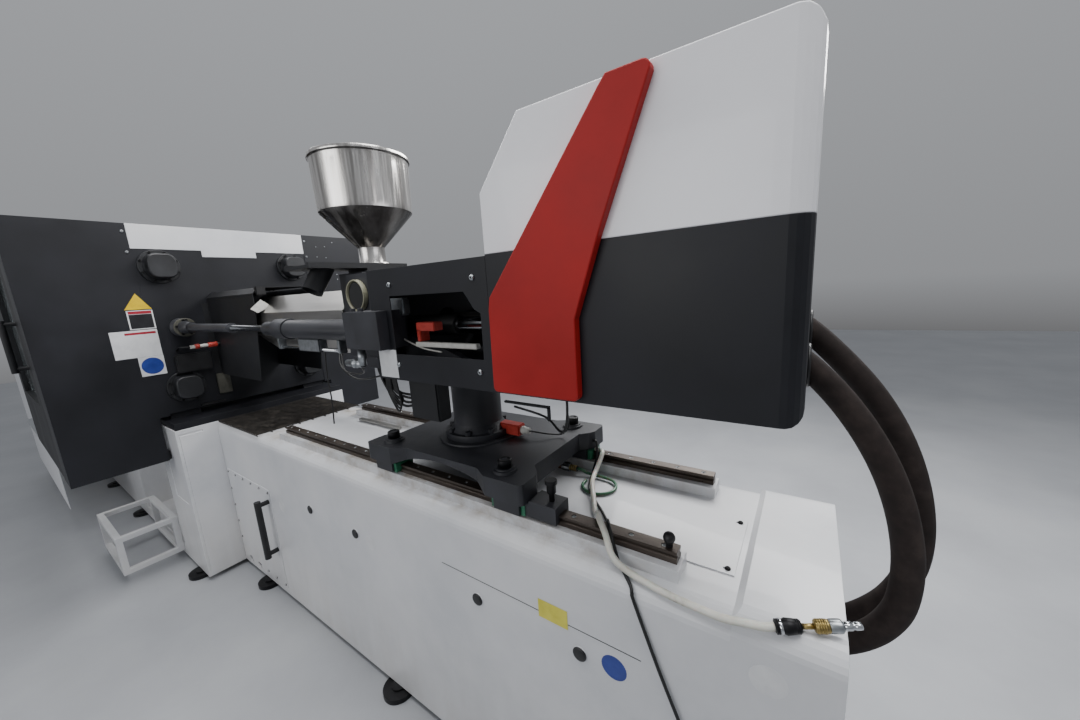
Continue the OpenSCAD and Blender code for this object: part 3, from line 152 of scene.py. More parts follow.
def beside_rails(tree):
    """Strong beside a rail on the deck, gone 85 mm from its middle, and broken up by a noise."""
    place = add(tree, "ShaderNodeTexCoord")
    split = add(tree, "ShaderNodeSeparateXYZ", links={"Vector": (place, "Object")})
    side = add(tree, "ShaderNodeMath", links={0: (split, "Y")}, operation="ABSOLUTE")
    off = add(tree, "ShaderNodeMath", {1: RAIL_Y / 1000}, {0: (side, "Value")}, operation="SUBTRACT")
    away = add(tree, "ShaderNodeMath", links={0: (off, "Value")}, operation="ABSOLUTE")
    near = add(tree, "ShaderNodeMapRange", {"From Min": 0.085, "From Max": 0.02, "To Min": 0, "To Max": 0.75},
               {"Value": (away, "Value")})
    deck = add(tree, "ShaderNodeMapRange", {"From Min": 0.9, "From Max": 0.93}, {"Value": (split, "Z")})
    front = add(tree, "ShaderNodeMapRange", {"From Min": 3.08, "From Max": 2.7}, {"Value": (split, "X")})
    smear = add(tree, "ShaderNodeTexNoise", {"Scale": 14, "Detail": 8, "Roughness": 0.65},
                {"Vector": (place, "Object")})
    broken = add(tree, "ShaderNodeMapRange", {"From Min": 0.42, "From Max": 0.68}, {"Value": (smear, "Fac")})
    below = add(tree, "ShaderNodeMapRange", {"From Min": 1.02, "From Max": 1.0}, {"Value": (split, "Z")})
    strength = (near, "Result")
    for part in (deck, broken, front, below):
        product = add(tree, "ShaderNodeMath", links={0: strength, 1: (part, "Result")}, operation="MULTIPLY")
        strength = (product, "Value")
    return strength


def darker_low_down(tree):
    """Grows towards the floor, in streaks."""
    place = add(tree, "ShaderNodeTexCoord")
    split = add(tree, "ShaderNodeSeparateXYZ", links={"Vector": (place, "Object")})
    low = add(tree, "ShaderNodeMapRange", {"From Min": 0.55, "From Max": 0.03, "To Min": 0, "To Max": 0.45},
              {"Value": (split, "Z")})
    streaks = add(tree, "ShaderNodeMapping", {"Scale": (9, 9, 1.5)}, {"Vector": (place, "Object")})
    noise = add(tree, "ShaderNodeTexNoise", {"Scale": 1.6, "Detail": 6}, {"Vector": (streaks, "Vector")})
    both = add(tree, "ShaderNodeMath", links={0: (low, "Result"), 1: (noise, "Fac")}, operation="MULTIPLY")
    return both, "Value"


stain(enamel_white, "#8A7A60", beside_rails)
# The second mix only makes the paint darker towards the floor, in streaks.
stain(enamel_white, "#9B9487", darker_low_down)

# %% [markdown]
# The covers of the injection unit are smoother and brighter, in the same white and in a blue-black
# enamel. The red bands are enamelled too, a little dulled by age. The sheet guards have a fine texture
# paint that breaks the light up.

# %% The other paints
cover_white = finish_of("white cover enamel", ["#E9E9ED", "#F0F0F3", "#F5F5F7"], 600, (0.22, 0.32), 5, 0.03,
                        coat=0.2)
enamel_dark = finish_of("blue-black enamel", ["#141519", "#191A1F", "#1E1F25"], 260, (0.42, 0.55), 4, 0.05,
                        specular=0.35)
enamel_red = finish_of("red gloss enamel", ["#8E1716", "#9B1C1B", "#A52120"], 240, (0.42, 0.55), 5, 0.03,
                       specular=0.25)
texture_dark = finish_of("dark texture paint", ["#111215", "#16171A", "#1B1C20"], 200, (0.5, 0.62), 1.6, 0.12,
                         specular=0.4)
print("finishes so far", len(bpy.data.materials))

# %% [markdown]
# Castings keep the sand's skin under their paint, so their grain is a coarse, shallow bump. Machined
# steel has a fine lay along the cut and an oil film that darkens it in patches. Bright rods are hard
# chromed and nearly a mirror. The hopper is spun from stainless sheet. Its colour carries upright light
# and dark streaks that are painted reflections, and painted shade darkens the cone's downward faces.

# %% Metals and castings
cast_dark = finish_of("painted grey iron", ["#1F2024", "#292A2F", "#34353B"], 130, (0.4, 0.58), 2.5, 0.35)
cast_cover = finish_of("cast nut cover", ["#161719", "#1E1F22", "#27282C"], 110, (0.35, 0.55), 4, 0.5)
steel_ground = finish_of("ground steel", ["#8C8B88", "#A3A29E", "#B4B3AF"], 70, (0.25, 0.4), 0.8, 0.02,
                         metallic=1.0, stretch=(0.08, 1, 1))
chrome_rod = finish_of("hard chrome", ["#C7CACD", "#D2D4D6", "#DADBDD"], 160, (0.08, 0.16), 1.2, 0.01,
                       metallic=1.0)
stainless = finish_of("brushed stainless", ["#B4B2AF", "#C4C2BF", "#D0CFCC"], 90, (0.26, 0.42), 0.7, 0.03,
                      metallic=1.0, stretch=(0.05, 1, 1))
# The upright light and dark streaks in this colour are painted reflections of the shop's lights on the round
# hopper.
hopper_steel_painted_streaks = finish_of("hopper steel with painted reflection streaks", ["#9E9A96", "#D4D1CD", "#F8F6F3"], 42, (0.16, 0.3), 0.7, 0.02,
                         metallic=1.0, stretch=(1, 1, 0.05))
oxide_black = finish_of("black oxide steel", ["#131315", "#1B1B1D", "#262628"], 60, (0.35, 0.55), 1.2, 0.06,
                        metallic=0.6)
rail_steel = finish_of("oiled rail steel", ["#39312C", "#4C443E", "#6B635C"], 55, (0.25, 0.5), 0.8, 0.04,
                       metallic=0.7, stretch=(0.15, 1, 1))
bronze = finish_of("bearing bronze", ["#8A6636", "#A27B44", "#B38D55"], 60, (0.3, 0.45), 1, 0.03,
                   metallic=1.0)
zinc = finish_of("zinc plate", ["#93979A", "#A8ACAF", "#B9BCBE"], 18, (0.3, 0.45), 1, 0.02, metallic=1.0)
brass = finish_of("nickel-worn brass", ["#8E7C4C", "#A38F5B", "#B4A374"], 22, (0.28, 0.42), 0.8, 0.03,
                  metallic=1.0)


def cone_painted_shade(tree):
    """Strong on faces that look down: painted shade on the hopper's cone, standing for the dark floor that it
    reflects.
    """
    way = add(tree, "ShaderNodeNewGeometry")
    split = add(tree, "ShaderNodeSeparateXYZ", links={"Vector": (way, "Normal")})
    return add(tree, "ShaderNodeMapRange", {"From Min": -0.1, "From Max": -0.4, "To Min": 0, "To Max": 0.8},
               {"Value": (split, "Z")}), "Result"


# The dark colour mixed over the downward faces is painted shade, standing for the reflected dark floor, and
# is not dust.
stain(hopper_steel_painted_streaks, "#2C2722", cone_painted_shade)
grating_steel = finish_of("worn grating steel", ["#1F1D1B", "#2D2A27", "#48433D"], 30, (0.4, 0.6), 1.2, 0.1,
                          metallic=0.4)

# %% [markdown]
# Knobs and plugs are moulded in black nylon, seals in green polyurethane, and the cap's rim in a
# beige plastic. The door windows are clear polycarbonate.

# %% Plastics
nylon_black = finish_of("black nylon", ["#0F0F11", "#161618", "#1D1D1F"], 40, (0.35, 0.5), 1, 0.04)
seal_green = finish_of("green polyurethane", ["#1F5A41", "#2A6C4F", "#35795A"], 20, (0.35, 0.5), 1, 0.05)
cap_beige = finish_of("beige plastic", ["#7F7D6A", "#8E8C78", "#9B9985"], 40, (0.35, 0.5), 1.5, 0.04)
window_clear = finish_of("clear polycarbonate", ["#C9D4D6", "#D3DCDE"], 300, (0.06, 0.12), 3, 0.01)
window_shader = window_clear.node_tree.nodes["Principled BSDF"]
window_shader.inputs["Transmission Weight"].default_value = 0.9
window_shader.inputs["IOR"].default_value = 1.58
print("finishes so far", len(bpy.data.materials))

# %% [markdown]
# Every solid now gets its finish. The solids arrive as bare triangles with razor edges, which no real
# casting or folded sheet has. Three modifiers soften them without touching the mesh: Weld joins the
# triangles, Decimate dissolves the flat ones, and Bevel rounds what is left.

# %% Dress the solids
WAIST_M = 1.18
END_WALL_M = -3.304
side_paint = finish_of("two-tone side paint", ["#16171B", "#1C1D21", "#222328"], 200, (0.5, 0.62), 1.6, 0.12)


def white_part(tree):
    """The side guards are white below the waist line and on the end wall."""
    place = add(tree, "ShaderNodeTexCoord")
    split = add(tree, "ShaderNodeSeparateXYZ", links={"Vector": (place, "Object")})
    low = add(tree, "ShaderNodeMath", {1: WAIST_M}, {0: (split, "Z")}, operation="LESS_THAN")
    end = add(tree, "ShaderNodeMath", {1: END_WALL_M}, {0: (split, "X")}, operation="LESS_THAN")
    both = add(tree, "ShaderNodeMath", links={0: (low, "Value"), 1: (end, "Value")}, operation="MAXIMUM")
    return both, "Value"


stain(side_paint, "#D1D2D5", white_part)
FINISHES = {
    enamel_white: ["injection_base", "tray_plate", "access_panel", "clamp_base", "operator_step",
                   "white_strip"],
    cover_white: ["upper_cover"],
    enamel_dark: ["front_panels", "lower_cover", "beam_panels", "fixed_platen"],
    texture_dark: ["guard_frame", "near_gate", "far_gate", "nozzle_guard", "nozzle_guard_lid",
                   "hopper_slide"],
    side_paint: ["side_guards"],
    enamel_red: ["red_bands"],
    cast_dark: ["cylinder_platen", "moving_platen", "carriage_casting", "column", "injection_housing",
                "traverse_cylinders", "crosshead", "bearing_blocks"],
    cast_cover: ["nut_covers"],
    steel_ground: ["guide_ways", "ejector", "barrel", "screw"],
    chrome_rod: ["tie_bars", "traverse_rods", "ram", "guide_rods"],
    stainless: ["barrel_guard"],
    hopper_steel_painted_streaks: ["hopper"],
    grating_steel: ["drip_grating"],
    oxide_black: ["levelling_feet", "tie_bar_nuts", "lock_pin"],
    rail_steel: ["near_rail", "far_rail"],
    bronze: ["platen_shoes"],
    zinc: ["gate_tracks"],
    nylon_black: ["access_handle", "rail_stop"],
    seal_green: ["block_seals"],
    cap_beige: ["round_cap"],
    window_clear: ["near_gate_window", "far_gate_window"],
}
SHARP = {"drip_grating", "barrel", "levelling_feet", "screw", "near_gate_window", "far_gate_window"}
EDGE_MM = {"injection_base": 3, "clamp_base": 4, "lower_cover": 4, "upper_cover": 4, "carriage_casting": 4,
           "injection_housing": 3, "fixed_platen": 4, "red_bands": 2.5, "column": 4}


def soften(thing, width_mm, angle=32):
    """Rounds a solid's edges by a width in millimetres."""
    weld = thing.modifiers.new("Weld", "WELD")
    weld.merge_threshold = 0.00002
    flat = thing.modifiers.new("Flat faces", "DECIMATE")
    flat.decimate_type = "DISSOLVE"
    flat.angle_limit = math.radians(1.0)
    bevel = thing.modifiers.new("Edges", "BEVEL")
    bevel.width = width_mm / 1000
    bevel.segments = 2
    bevel.limit_method = "ANGLE"
    bevel.angle_limit = math.radians(angle)
    bevel.use_clamp_overlap = True


for material, names in FINISHES.items():
    for name in names:
        solid = nodes[name]
        solid.data.materials.clear()
        solid.data.materials.append(material)
        if name not in SHARP:
            soften(solid, EDGE_MM.get(name, 1.2))
print("solids dressed", sum(len(names) for names in FINISHES.values()))

# %% [markdown]
# A hose or cable is a round tube along a route. The route is a short list of points that say where it
# lies, and a Catmull-Rom curve passes smoothly through them all. The tube's rings turn with the curve
# without twisting, and each end is closed.

# %% Routes and tubes


def mm(x, y, z):
    """A point given in millimetres."""
    return Vector((x, y, z)) / 1000


def route(points, steps=6):
    """A smooth line through points in millimetres, in metres."""
    knots = [mm(*p) for p in points]
    knots = [knots[0] * 2 - knots[1]] + knots + [knots[-1] * 2 - knots[-2]]
    line = []
    for i in range(1, len(knots) - 2):
        a, b, c, d = knots[i - 1 : i + 3]
        for j in range(steps):
            t = j / steps
            line.append(0.5 * ((2 * b) + (c - a) * t + (2 * a - 5 * b + 4 * c - d) * t * t
                               + (3 * b - a - 3 * c + d) * t ** 3))
    line.append(knots[-2])
    return line


def length_of(line):
    """The length of a line of points."""
    return sum((b - a).length for a, b in zip(line, line[1:]))


def mesh_piece(name, mesh_maker, material, body):
    """A new mesh object built by mesh_maker(bm), with its material or materials, riding on a body."""
    bm = bmesh.new()
    mesh_maker(bm)
    bmesh.ops.recalc_face_normals(bm, faces=bm.faces)
    data = bpy.data.meshes.new(name)
    bm.to_mesh(data)
    bm.free()
    made = bpy.data.objects.new(name, data)
    bpy.context.scene.collection.objects.link(made)
    for one in material if isinstance(material, list) else [material]:
        data.materials.append(one)
    if body:
        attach(made, body)
    print(name, len(data.polygons), "faces")
    return made


def add_rings(bm, rings, slot):
    """Joins rings of corners into a closed skin."""
    sides = len(rings[0])
    for low, high in zip(rings, rings[1:]):
        for k in range(sides):
            face = bm.faces.new((low[k], low[(k + 1) % sides], high[(k + 1) % sides], high[k]))
            face.smooth = True
            face.material_index = slot
    bm.faces.new(list(reversed(rings[0]))).material_index = slot
    bm.faces.new(rings[-1]).material_index = slot


def around(bm, point, side, other, radius, sides):
    """One ring of corners about a point."""
    turns = [2 * math.pi * k / sides for k in range(sides)]
    return [bm.verts.new(point + (side * math.cos(t) + other * math.sin(t)) * radius) for t in turns]


def first_side(tangent):
    """A direction square to a tangent."""
    up = Vector((0, 0, 1)) if abs(tangent.z) < 0.9 else Vector((1, 0, 0))
    return tangent.cross(up).normalized()


def add_tube(bm, line, radius, sides=20, slot=0):
    """Adds a closed round tube along a line."""
    side = first_side((line[1] - line[0]).normalized())
    rings = []
    for i, point in enumerate(line):
        tangent = (line[min(i + 1, len(line) - 1)] - line[max(i - 1, 0)]).normalized()
        side = (side - tangent * side.dot(tangent)).normalized()
        rings.append(around(bm, point, side, tangent.cross(side), radius, sides))
    add_rings(bm, rings, slot)


def add_turned(bm, start, end, outline, sides=28, slot=0):
    """Adds a turned solid from start to end. Outline holds (share of the length, radius in mm)."""
    axis = end - start
    side = first_side(axis.normalized())
    other = axis.normalized().cross(side)
    rings = [around(bm, start + axis * share, side, other, radius / 1000, sides)
             for share, radius in outline]
    add_rings(bm, rings, slot)


def add_slab(bm, outline, push, slot=0):
    """Adds a flat plate: an outline of points, pushed through its thickness."""
    low = [bm.verts.new(p) for p in outline]
    high = [bm.verts.new(p + push) for p in outline]
    bm.faces.new(low).material_index = slot
    bm.faces.new(high).material_index = slot
    for k in range(len(low)):
        n = (k + 1) % len(low)
        bm.faces.new((low[k], low[n], high[n], high[k])).material_index = slot


def add_block(bm, low, high, round_mm=1.0, slot=0):
    """Adds a block with rounded edges between two corners in millimetres."""
    made = bmesh.ops.create_cube(bm, size=1)["verts"]
    for v in made:
        v.co = Vector([(low[i] + high[i]) / 2 + v.co[i] * (high[i] - low[i]) for i in range(3)]) / 1000
    edges = list({e for v in made for e in v.link_edges})
    faces = {f for v in made for f in v.link_faces}
    cut = bmesh.ops.bevel(bm, geom=edges, offset=round_mm / 1000, segments=2, affect="EDGES",
                          clamp_overlap=True)
    for f in faces | set(cut["faces"]):
        if f.is_valid:
            f.material_index = slot
    for v in cut["verts"]:
        for f in v.link_faces:
            f.material_index = slot


def tube(name, line, diameter_mm, material, body, sides=20):
    """A hose or cable as a piece of its own."""
    return mesh_piece(name, lambda bm: add_tube(bm, line, diameter_mm / 2000, sides), material, body)


# %% [markdown]
# Two insulated hydraulic hoses leave the rear of the injection unit and go down into the base. The
# lower half stays with the base and the upper half travels with the carriage, but each tube here is one
# fixed piece on no body. Their sleeves are closed-cell rubber foam: brown-black, soft
# and almost without gloss.

# %% The two big hoses
foam = finish_of("rubber foam sleeve", ["#201A18", "#2B2422", "#38302D"], 35, (0.72, 0.86), 1.8, 0.5,
                 specular=0.25)
NEAR_HOSE = [(3165.4, -60, 1448), (3222, -60, 1408), (3284, -60, 1339), (3334, -60, 1262), (3371, -60, 1182),
             (3396, -60, 1096), (3408, -60, 1008), (3404, -60, 924), (3383, -60, 865), (3351, -60, 820),
             (3316, -60, 789), (3282, -60, 768)]
FAR_HOSE = [(3165.4, 60, 1506), (3222, 60, 1466), (3284, 60, 1402), (3338, 60, 1334), (3380, 60, 1262),
            (3412, 60, 1184), (3434, 60, 1098), (3443, 60, 1010), (3436, 60, 930), (3408, 60, 853),
            (3366, 60, 793), (3320, 60, 751), (3282.4, 60, 729)]
HOSE_D = 52
for node, points in (("near_hose", NEAR_HOSE), ("far_hose", FAR_HOSE)):
    line = route(points)
    hose = tube(node + "_tube", line, HOSE_D, foam, None, 32)
    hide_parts(node)
    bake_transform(hose)
    print(node, "length", round(length_of(line), 3))

# %% [markdown]
# A milky air hose comes off the far bearing block, crosses the deck and the near rail, and lies along
# the rounded edge to a quick coupling that overhangs the rear. Soft vinyl scatters light inside
# itself, so it gets a little subsurface. The coupling is a row of turned parts on one axis: a dark
# hose clamp, a thin stem, a brass socket with a knurled ring, a steel nut and the bright nipple.

# %% The air hose and its coupling
vinyl_white = finish_of("milky vinyl", ["#B9B8AE", "#C9C8BF", "#D3D2CA"], 60, (0.25, 0.38), 2, 0.03)
vinyl_shader = vinyl_white.node_tree.nodes["Principled BSDF"]
vinyl_shader.inputs["Subsurface Weight"].default_value = 0.15
vinyl_shader.inputs["Subsurface Scale"].default_value = 0.004
AIR_HOSE = [(2593.3, 200, 1004), (2606, 200, 1004), (2625, 190, 1005), (2636, 170, 1003), (2638, 136, 980),
            (2640, 100, 962), (2654, 56, 961), (2674, 14, 966), (2700, -32, 961), (2728, -80, 952),
            (2756, -124, 963), (2782, -168, 1000), (2806, -204, 1008), (2838, -240, 1001), (2866, -264, 967),
            (2904, -268, 945), (2950, -273, 938), (3000, -279, 934), (3100, -285, 933), (3150, -288, 945),
            (3180, -287, 951), (3197, -280, 954)]
AIR_D = 16
air_line = route(AIR_HOSE, 5)
air_hose = tube("air_hose_tube", air_line, AIR_D, vinyl_white, None, 18)
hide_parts("air_hose")
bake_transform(air_hose)


def knurled(low, high, radius, teeth):
    """An outline that goes in and out between two shares of the length, as a ribbed ring does."""
    out = []
    for i in range(teeth):
        a = low + (high - low) * i / teeth
        b = low + (high - low) * (i + 0.7) / teeth
        out += [(a, radius - 1.2), (a + 0.001, radius), (b, radius), (b + 0.001, radius - 1.2)]
    return out


def build_coupling(bm):
    start = mm(3197, -280, 954)
    end = mm(3327, -227, 975)
    clamp = [(0.003, 8.5), (0.005, 11)] + knurled(0.01, 0.08, 13, 3)
    clamp += [(0.1, 12), (0.13, 14.5), (0.17, 14), (0.24, 13)] + knurled(0.25, 0.3, 12.5, 2)
    add_turned(bm, start, end, clamp + [(0.31, 11), (0.315, 5)], slot=0)
    add_turned(bm, start, end, [(0.05, 13.4), (0.052, 14), (0.085, 14), (0.087, 13.4)], slot=3)
    add_turned(bm, start, end, [(0.31, 5), (0.47, 5)], slot=1)
    socket = [(0.46, 5), (0.465, 10), (0.48, 12)] + knurled(0.49, 0.6, 12.5, 4) + [(0.61, 12), (0.63, 11)]
    add_turned(bm, start, end, socket, slot=1)
    add_turned(bm, start, end, [(0.63, 11.5), (0.64, 12.4), (0.76, 12.4), (0.78, 11.4)], 6, 2)
    nipple = [(0.78, 7.5), (0.88, 7.5), (0.885, 6), (0.92, 6), (0.925, 7), (0.99, 6.2), (1, 4.5)]
    add_turned(bm, start, end, nipple, slot=3)


coupling_finishes = [oxide_black, brass, zinc, chrome_rod]
coupling = mesh_piece("air_coupling_parts", build_coupling, coupling_finishes, "machine")
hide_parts("air_coupling")
print("air hose length", round(length_of(air_line), 3))

# %% [markdown]
# A thin black cable follows the air hose, slips under it beside the near rail and hangs down the side
# of the base. What the picture doesn't show lies in a neat coil on the floor, with its plug on top.

# %% The black cable
rubber = finish_of("cable rubber", ["#0C0C0D", "#121213", "#19191A"], 40, (0.4, 0.55), 1.2, 0.04)
CABLE_D = 8
COIL_CENTRE = (3138, -560)
CABLE = [(2599.5, 178, 1044), (2611, 177, 1042), (2621, 160, 1004), (2623, 136, 974), (2628, 104, 954),
         (2644, 54, 951), (2664, 10, 956), (2686, -14, 951), (2716, -40, 943), (2752, -76, 943),
         (2793, -128, 950), (2820, -186, 1002), (2846, -226, 1001), (2862, -243, 977), (2872, -249, 955),
         (2882, -256, 943), (2916, -282, 924), (2924, -292, 912), (2930, -295, 894), (2984, -297, 750),
         (3060, -300, 560), (3082, -304, 440), (3090, -312, 300), (3091, -346, 140), (3088, -400, 40),
         (3086, -460, 9), (3085.5, -528.7, 7)]


def coil_line(centre, pitch_mm, mean_mm, layers, turns_in_layer, start_angle, steps=24):
    """Turns that lie beside and on each other, a pitch apart, in millimetres."""
    points = []
    angle = start_angle
    first_lift = 0.56
    layer_rise = 1.03
    for layer in range(layers):
        for turn in range(turns_in_layer):
            inward = turn if layer % 2 == 0 else turns_in_layer - 1 - turn
            step_dir = -1 if layer % 2 == 0 else 1
            for k in range(steps):
                share = k / steps
                ring = mean_mm / 2 + (turns_in_layer - 1) * pitch_mm / 2 - inward * pitch_mm
                height = pitch_mm * (first_lift + layer * layer_rise)
                if turn < turns_in_layer - 1:
                    ring += step_dir * pitch_mm * share
                elif layer < layers - 1 and share > 0.5:
                    height += (share - 0.5) * 2 * pitch_mm * layer_rise
                spot = (centre[0] + ring * math.cos(angle), centre[1] + ring * math.sin(angle), height)
                points.append(spot)
                angle += 2 * math.pi / steps
    return points


coil = coil_line(COIL_CENTRE, pitch_mm=CABLE_D * 1.06, mean_mm=88, layers=2, turns_in_layer=3,
                 start_angle=math.pi)
to_plug = route([coil[-1], (3085.5, -560, 14), (3085.5, -577, 18.5), (3089, -591, 23), (3098, -601, 26),
                 (3109.7, -603, 26.3)], 4)
cable_line = route(CABLE, 4)[:-1] + [mm(*p) for p in coil[:-1]] + to_plug
cable = tube("sensor_cable_tube", cable_line, CABLE_D, rubber, None, 12)
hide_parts("sensor_cable", "cable_coil")
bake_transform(cable)


def build_plug(bm):
    """A round moulded plug with a ribbed grip, whose thin end takes the cable."""
    start = mm(3110, -603, 26.3)
    end = mm(3167, -603, 26.3)
    outline = [(0, 4.2), (0.1, 5.5), (0.3, 6.4), (0.34, 8)] + knurled(0.36, 0.7, 8.5, 6)
    outline += [(0.72, 8), (0.74, 7), (0.98, 7), (1, 6.4)]
    add_turned(bm, start, end, outline, 24, 0)


plug = mesh_piece("cable_plug_parts", build_plug, nylon_black, "machine")
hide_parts("cable_plug")
print("black cable length", round(length_of(cable_line), 3))

# %% [markdown]
# A clear green hose drains the carriage's drip channel. It comes off a rusty pipe through a union and
# ends in a loose ring on the loose plate.

# %% The drain hose
vinyl_green = finish_of("green vinyl", ["#2E5A40", "#3D6E4F", "#54856A"], 30, (0.22, 0.36), 2, 0.03)
vinyl_green.node_tree.nodes["Principled BSDF"].inputs["Subsurface Weight"].default_value = 0.1
DRAIN_HOSE = [(2566.3, 112, 956), (2580, 112, 956), (2602, 115, 948), (2632, 117, 944), (2662, 116, 944),
              (2696, 111, 944), (2720, 92, 944), (2730, 64, 944), (2724, 34, 944), (2702, 12, 944),
              (2672, 5, 944), (2643, 16, 944), (2624, 40, 944), (2620, 72, 944)]
DRAIN_D = 10
drain_line = route(DRAIN_HOSE, 5)
drain_hose = tube("drain_hose_tube", drain_line, DRAIN_D, vinyl_green, "carriage", 14)
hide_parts("drain_hose")
print("drain hose length", round(length_of(drain_line), 3))

# %% [markdown]
# The camera stands where the photographer stood, close to the rear corner, with a wide lens, turned
# 35 degrees and tipped slightly down. Its axes come from the machine's own straight edges in the
# picture, so the lens and the place are numbers and not taste.

# %% The camera
FOCAL_PX = 392
PICTURE_PX = 1080
SENSOR_MM = 36
STAND = (3.220, -1.021, 1.600)
yaw = math.radians(34.8)
pitch = math.radians(10.5)
roll = math.radians(3.6)
forward = Vector((-math.sin(yaw) * math.cos(pitch), math.cos(yaw) * math.cos(pitch), -math.sin(pitch)))
level = Vector((math.cos(yaw), math.sin(yaw), 0))
down = forward.cross(level)
right = level * math.cos(roll) + down * math.sin(roll)
low = down * math.cos(roll) - level * math.sin(roll)
lens = bpy.data.cameras.new("camera")
lens.lens = SENSOR_MM * FOCAL_PX / PICTURE_PX
lens.sensor_width = SENSOR_MM
lens.clip_start = 0.01
lens.clip_end = 100
camera = bpy.data.objects.new("camera", lens)
bpy.context.scene.collection.objects.link(camera)
turn = Matrix((right, -low, -forward)).transposed().to_4x4()
camera.matrix_world = Matrix.Translation(STAND) @ turn
bpy.context.scene.camera = camera
print("camera at", STAND, "lens", round(lens.lens, 2), "mm")

# %% [markdown]
# Screw heads repeat all over a machine. A Geometry Nodes tree sets one modelled head on every point of
# a small mesh, turns it to face the way the point says, scales it by the point's size, and gives it a
# random turn from a fixed seed, so that no two sockets line up. The result becomes a plain mesh.

# %% A tree that sets heads on points
heads_tree = bpy.data.node_groups.new("Heads on points", "GeometryNodeTree")
for label, kind in (("Geometry", "NodeSocketGeometry"), ("Head", "NodeSocketObject"),
                    ("Finish", "NodeSocketMaterial"), ("Seed", "NodeSocketInt")):
    heads_tree.interface.new_socket(label, in_out="INPUT", socket_type=kind)
heads_tree.interface.new_socket("Geometry", in_out="OUTPUT", socket_type="NodeSocketGeometry")
given = add(heads_tree, "NodeGroupInput")
facing = add(heads_tree, "GeometryNodeInputNamedAttribute", {"Name": "facing"}, data_type="FLOAT_VECTOR")
size = add(heads_tree, "GeometryNodeInputNamedAttribute", {"Name": "size"}, data_type="FLOAT")
aimed = add(heads_tree, "FunctionNodeAlignRotationToVector", None, {"Vector": (facing, "Attribute")},
            axis="Z")
chance = add(heads_tree, "FunctionNodeRandomValue", {2: 0.0, 3: 6.28}, {8: (given, "Seed")},
             data_type="FLOAT")
spin = add(heads_tree, "FunctionNodeAxisAngleToRotation", {"Axis": (0, 0, 1)}, {"Angle": (chance, 1)})
turned = add(heads_tree, "FunctionNodeRotateRotation", None,
             {"Rotation": (aimed, "Rotation"), "Rotate By": (spin, "Rotation")}, rotation_space="LOCAL")
head_shape = add(heads_tree, "GeometryNodeObjectInfo", None, {"Object": (given, "Head")})
spread = add(heads_tree, "GeometryNodeInstanceOnPoints", None,
             {"Points": (given, "Geometry"), "Instance": (head_shape, "Geometry"),
              "Rotation": (turned, "Rotation"), "Scale": (size, "Attribute")})
solid_heads = add(heads_tree, "GeometryNodeRealizeInstances", None, {"Geometry": (spread, "Instances")})
finished = add(heads_tree, "GeometryNodeSetMaterial", None,
               {"Geometry": (solid_heads, "Geometry"), "Material": (given, "Finish")})
add(heads_tree, "NodeGroupOutput", None, {"Geometry": (finished, "Geometry")})
HEADS = {
    "button": [(0, 0.5), (0.16, 0.5), (0.3, 0.43), (0.4, 0.3), (0.42, 0.22), (0.2, 0.2), (0.19, 0.02)],
    "cap": [(0, 0.5), (0.5, 0.5), (0.55, 0.46), (0.55, 0.28), (0.3, 0.26), (0.29, 0.02)],
    "plug": [(0, 0.5), (0.05, 0.5), (0.11, 0.45), (0.13, 0.3), (0.14, 0.02)],
}
head_objects = {}
for name, outline in HEADS.items():
    full_size = [(share, radius * 1000) for share, radius in outline]
    head_objects[name] = mesh_piece(
        "head_" + name, lambda bm: add_turned(bm, Vector(), Vector((0, 0, 1)), full_size), zinc, None)


def heads(name, kind, spots, material, body, seed=1):
    """Heads of one kind at spots of (x, y, z, facing, diameter), in millimetres, as one plain piece."""
    data = bpy.data.meshes.new(name)
    data.from_pydata([mm(*spot[:3]) for spot in spots], [], [])
    data.attributes.new("facing", "FLOAT_VECTOR", "POINT")
    data.attributes.new("size", "FLOAT", "POINT")
    for i, spot in enumerate(spots):
        data.attributes["facing"].data[i].vector = spot[3]
        data.attributes["size"].data[i].value = spot[4] / 1000
    made = bpy.data.objects.new(name, data)
    bpy.context.scene.collection.objects.link(made)
    modifier = made.modifiers.new("Heads", "NODES")
    modifier.node_group = heads_tree
    sockets = heads_tree.interface.items_tree
    inputs = {item.name: item.identifier for item in sockets if item.in_out == "INPUT"}
    modifier[inputs["Head"]] = head_objects[kind]
    modifier[inputs["Finish"]] = material
    modifier[inputs["Seed"]] = seed
    seen = bpy.context.evaluated_depsgraph_get()
    plain = bpy.data.meshes.new_from_object(made.evaluated_get(seen), depsgraph=seen)
    made.modifiers.clear()
    made.data = plain
    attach(made, body)
    print(name, len(spots), "heads", len(plain.polygons), "faces")


# %% [markdown]
# The heads go where the machine shows them: black ones around the access panel, bright ones on the dark
# sheets, caps in the rails' holes, and big socket caps on the casting.

# %% Heads on the sheets, rails and casting
NEAR = (0, -1, 0)
REAR = (1, 0, 0)
UP = (0, 0, 1)
SIDES = (-1, 1)
PANEL_X = 193
PANEL_LEFT = 389
PANEL_TOP = 632
PANEL_STEP = 108
panel_spots = [(PANEL_LEFT + i * PANEL_STEP, PANEL_TOP) for i in range(6)]
panel_spots += [(PANEL_LEFT + i * PANEL_STEP, 86) for i in range(2, 6)]
panel_spots += [(PANEL_LEFT, PANEL_TOP - i * PANEL_STEP) for i in range(1, 5)]
heads("panel_screws", "button", [(x, -293, z, NEAR, 13) for x, z in panel_spots], oxide_black, "machine")
beam_spots = [(x, z) for x in (2212, 2541) for z in (1398, 1633)]
heads("beam_screws", "button", [(x, s * 310, z, (0, s, 0), 15) for x, z in beam_spots for s in SIDES],
      zinc, "carriage", 3)
far_spots = [(663, 2030), (538, 1993), (603, 1996), (536, 1921), (602, 1917), (666, 1795), (665, 1757)]
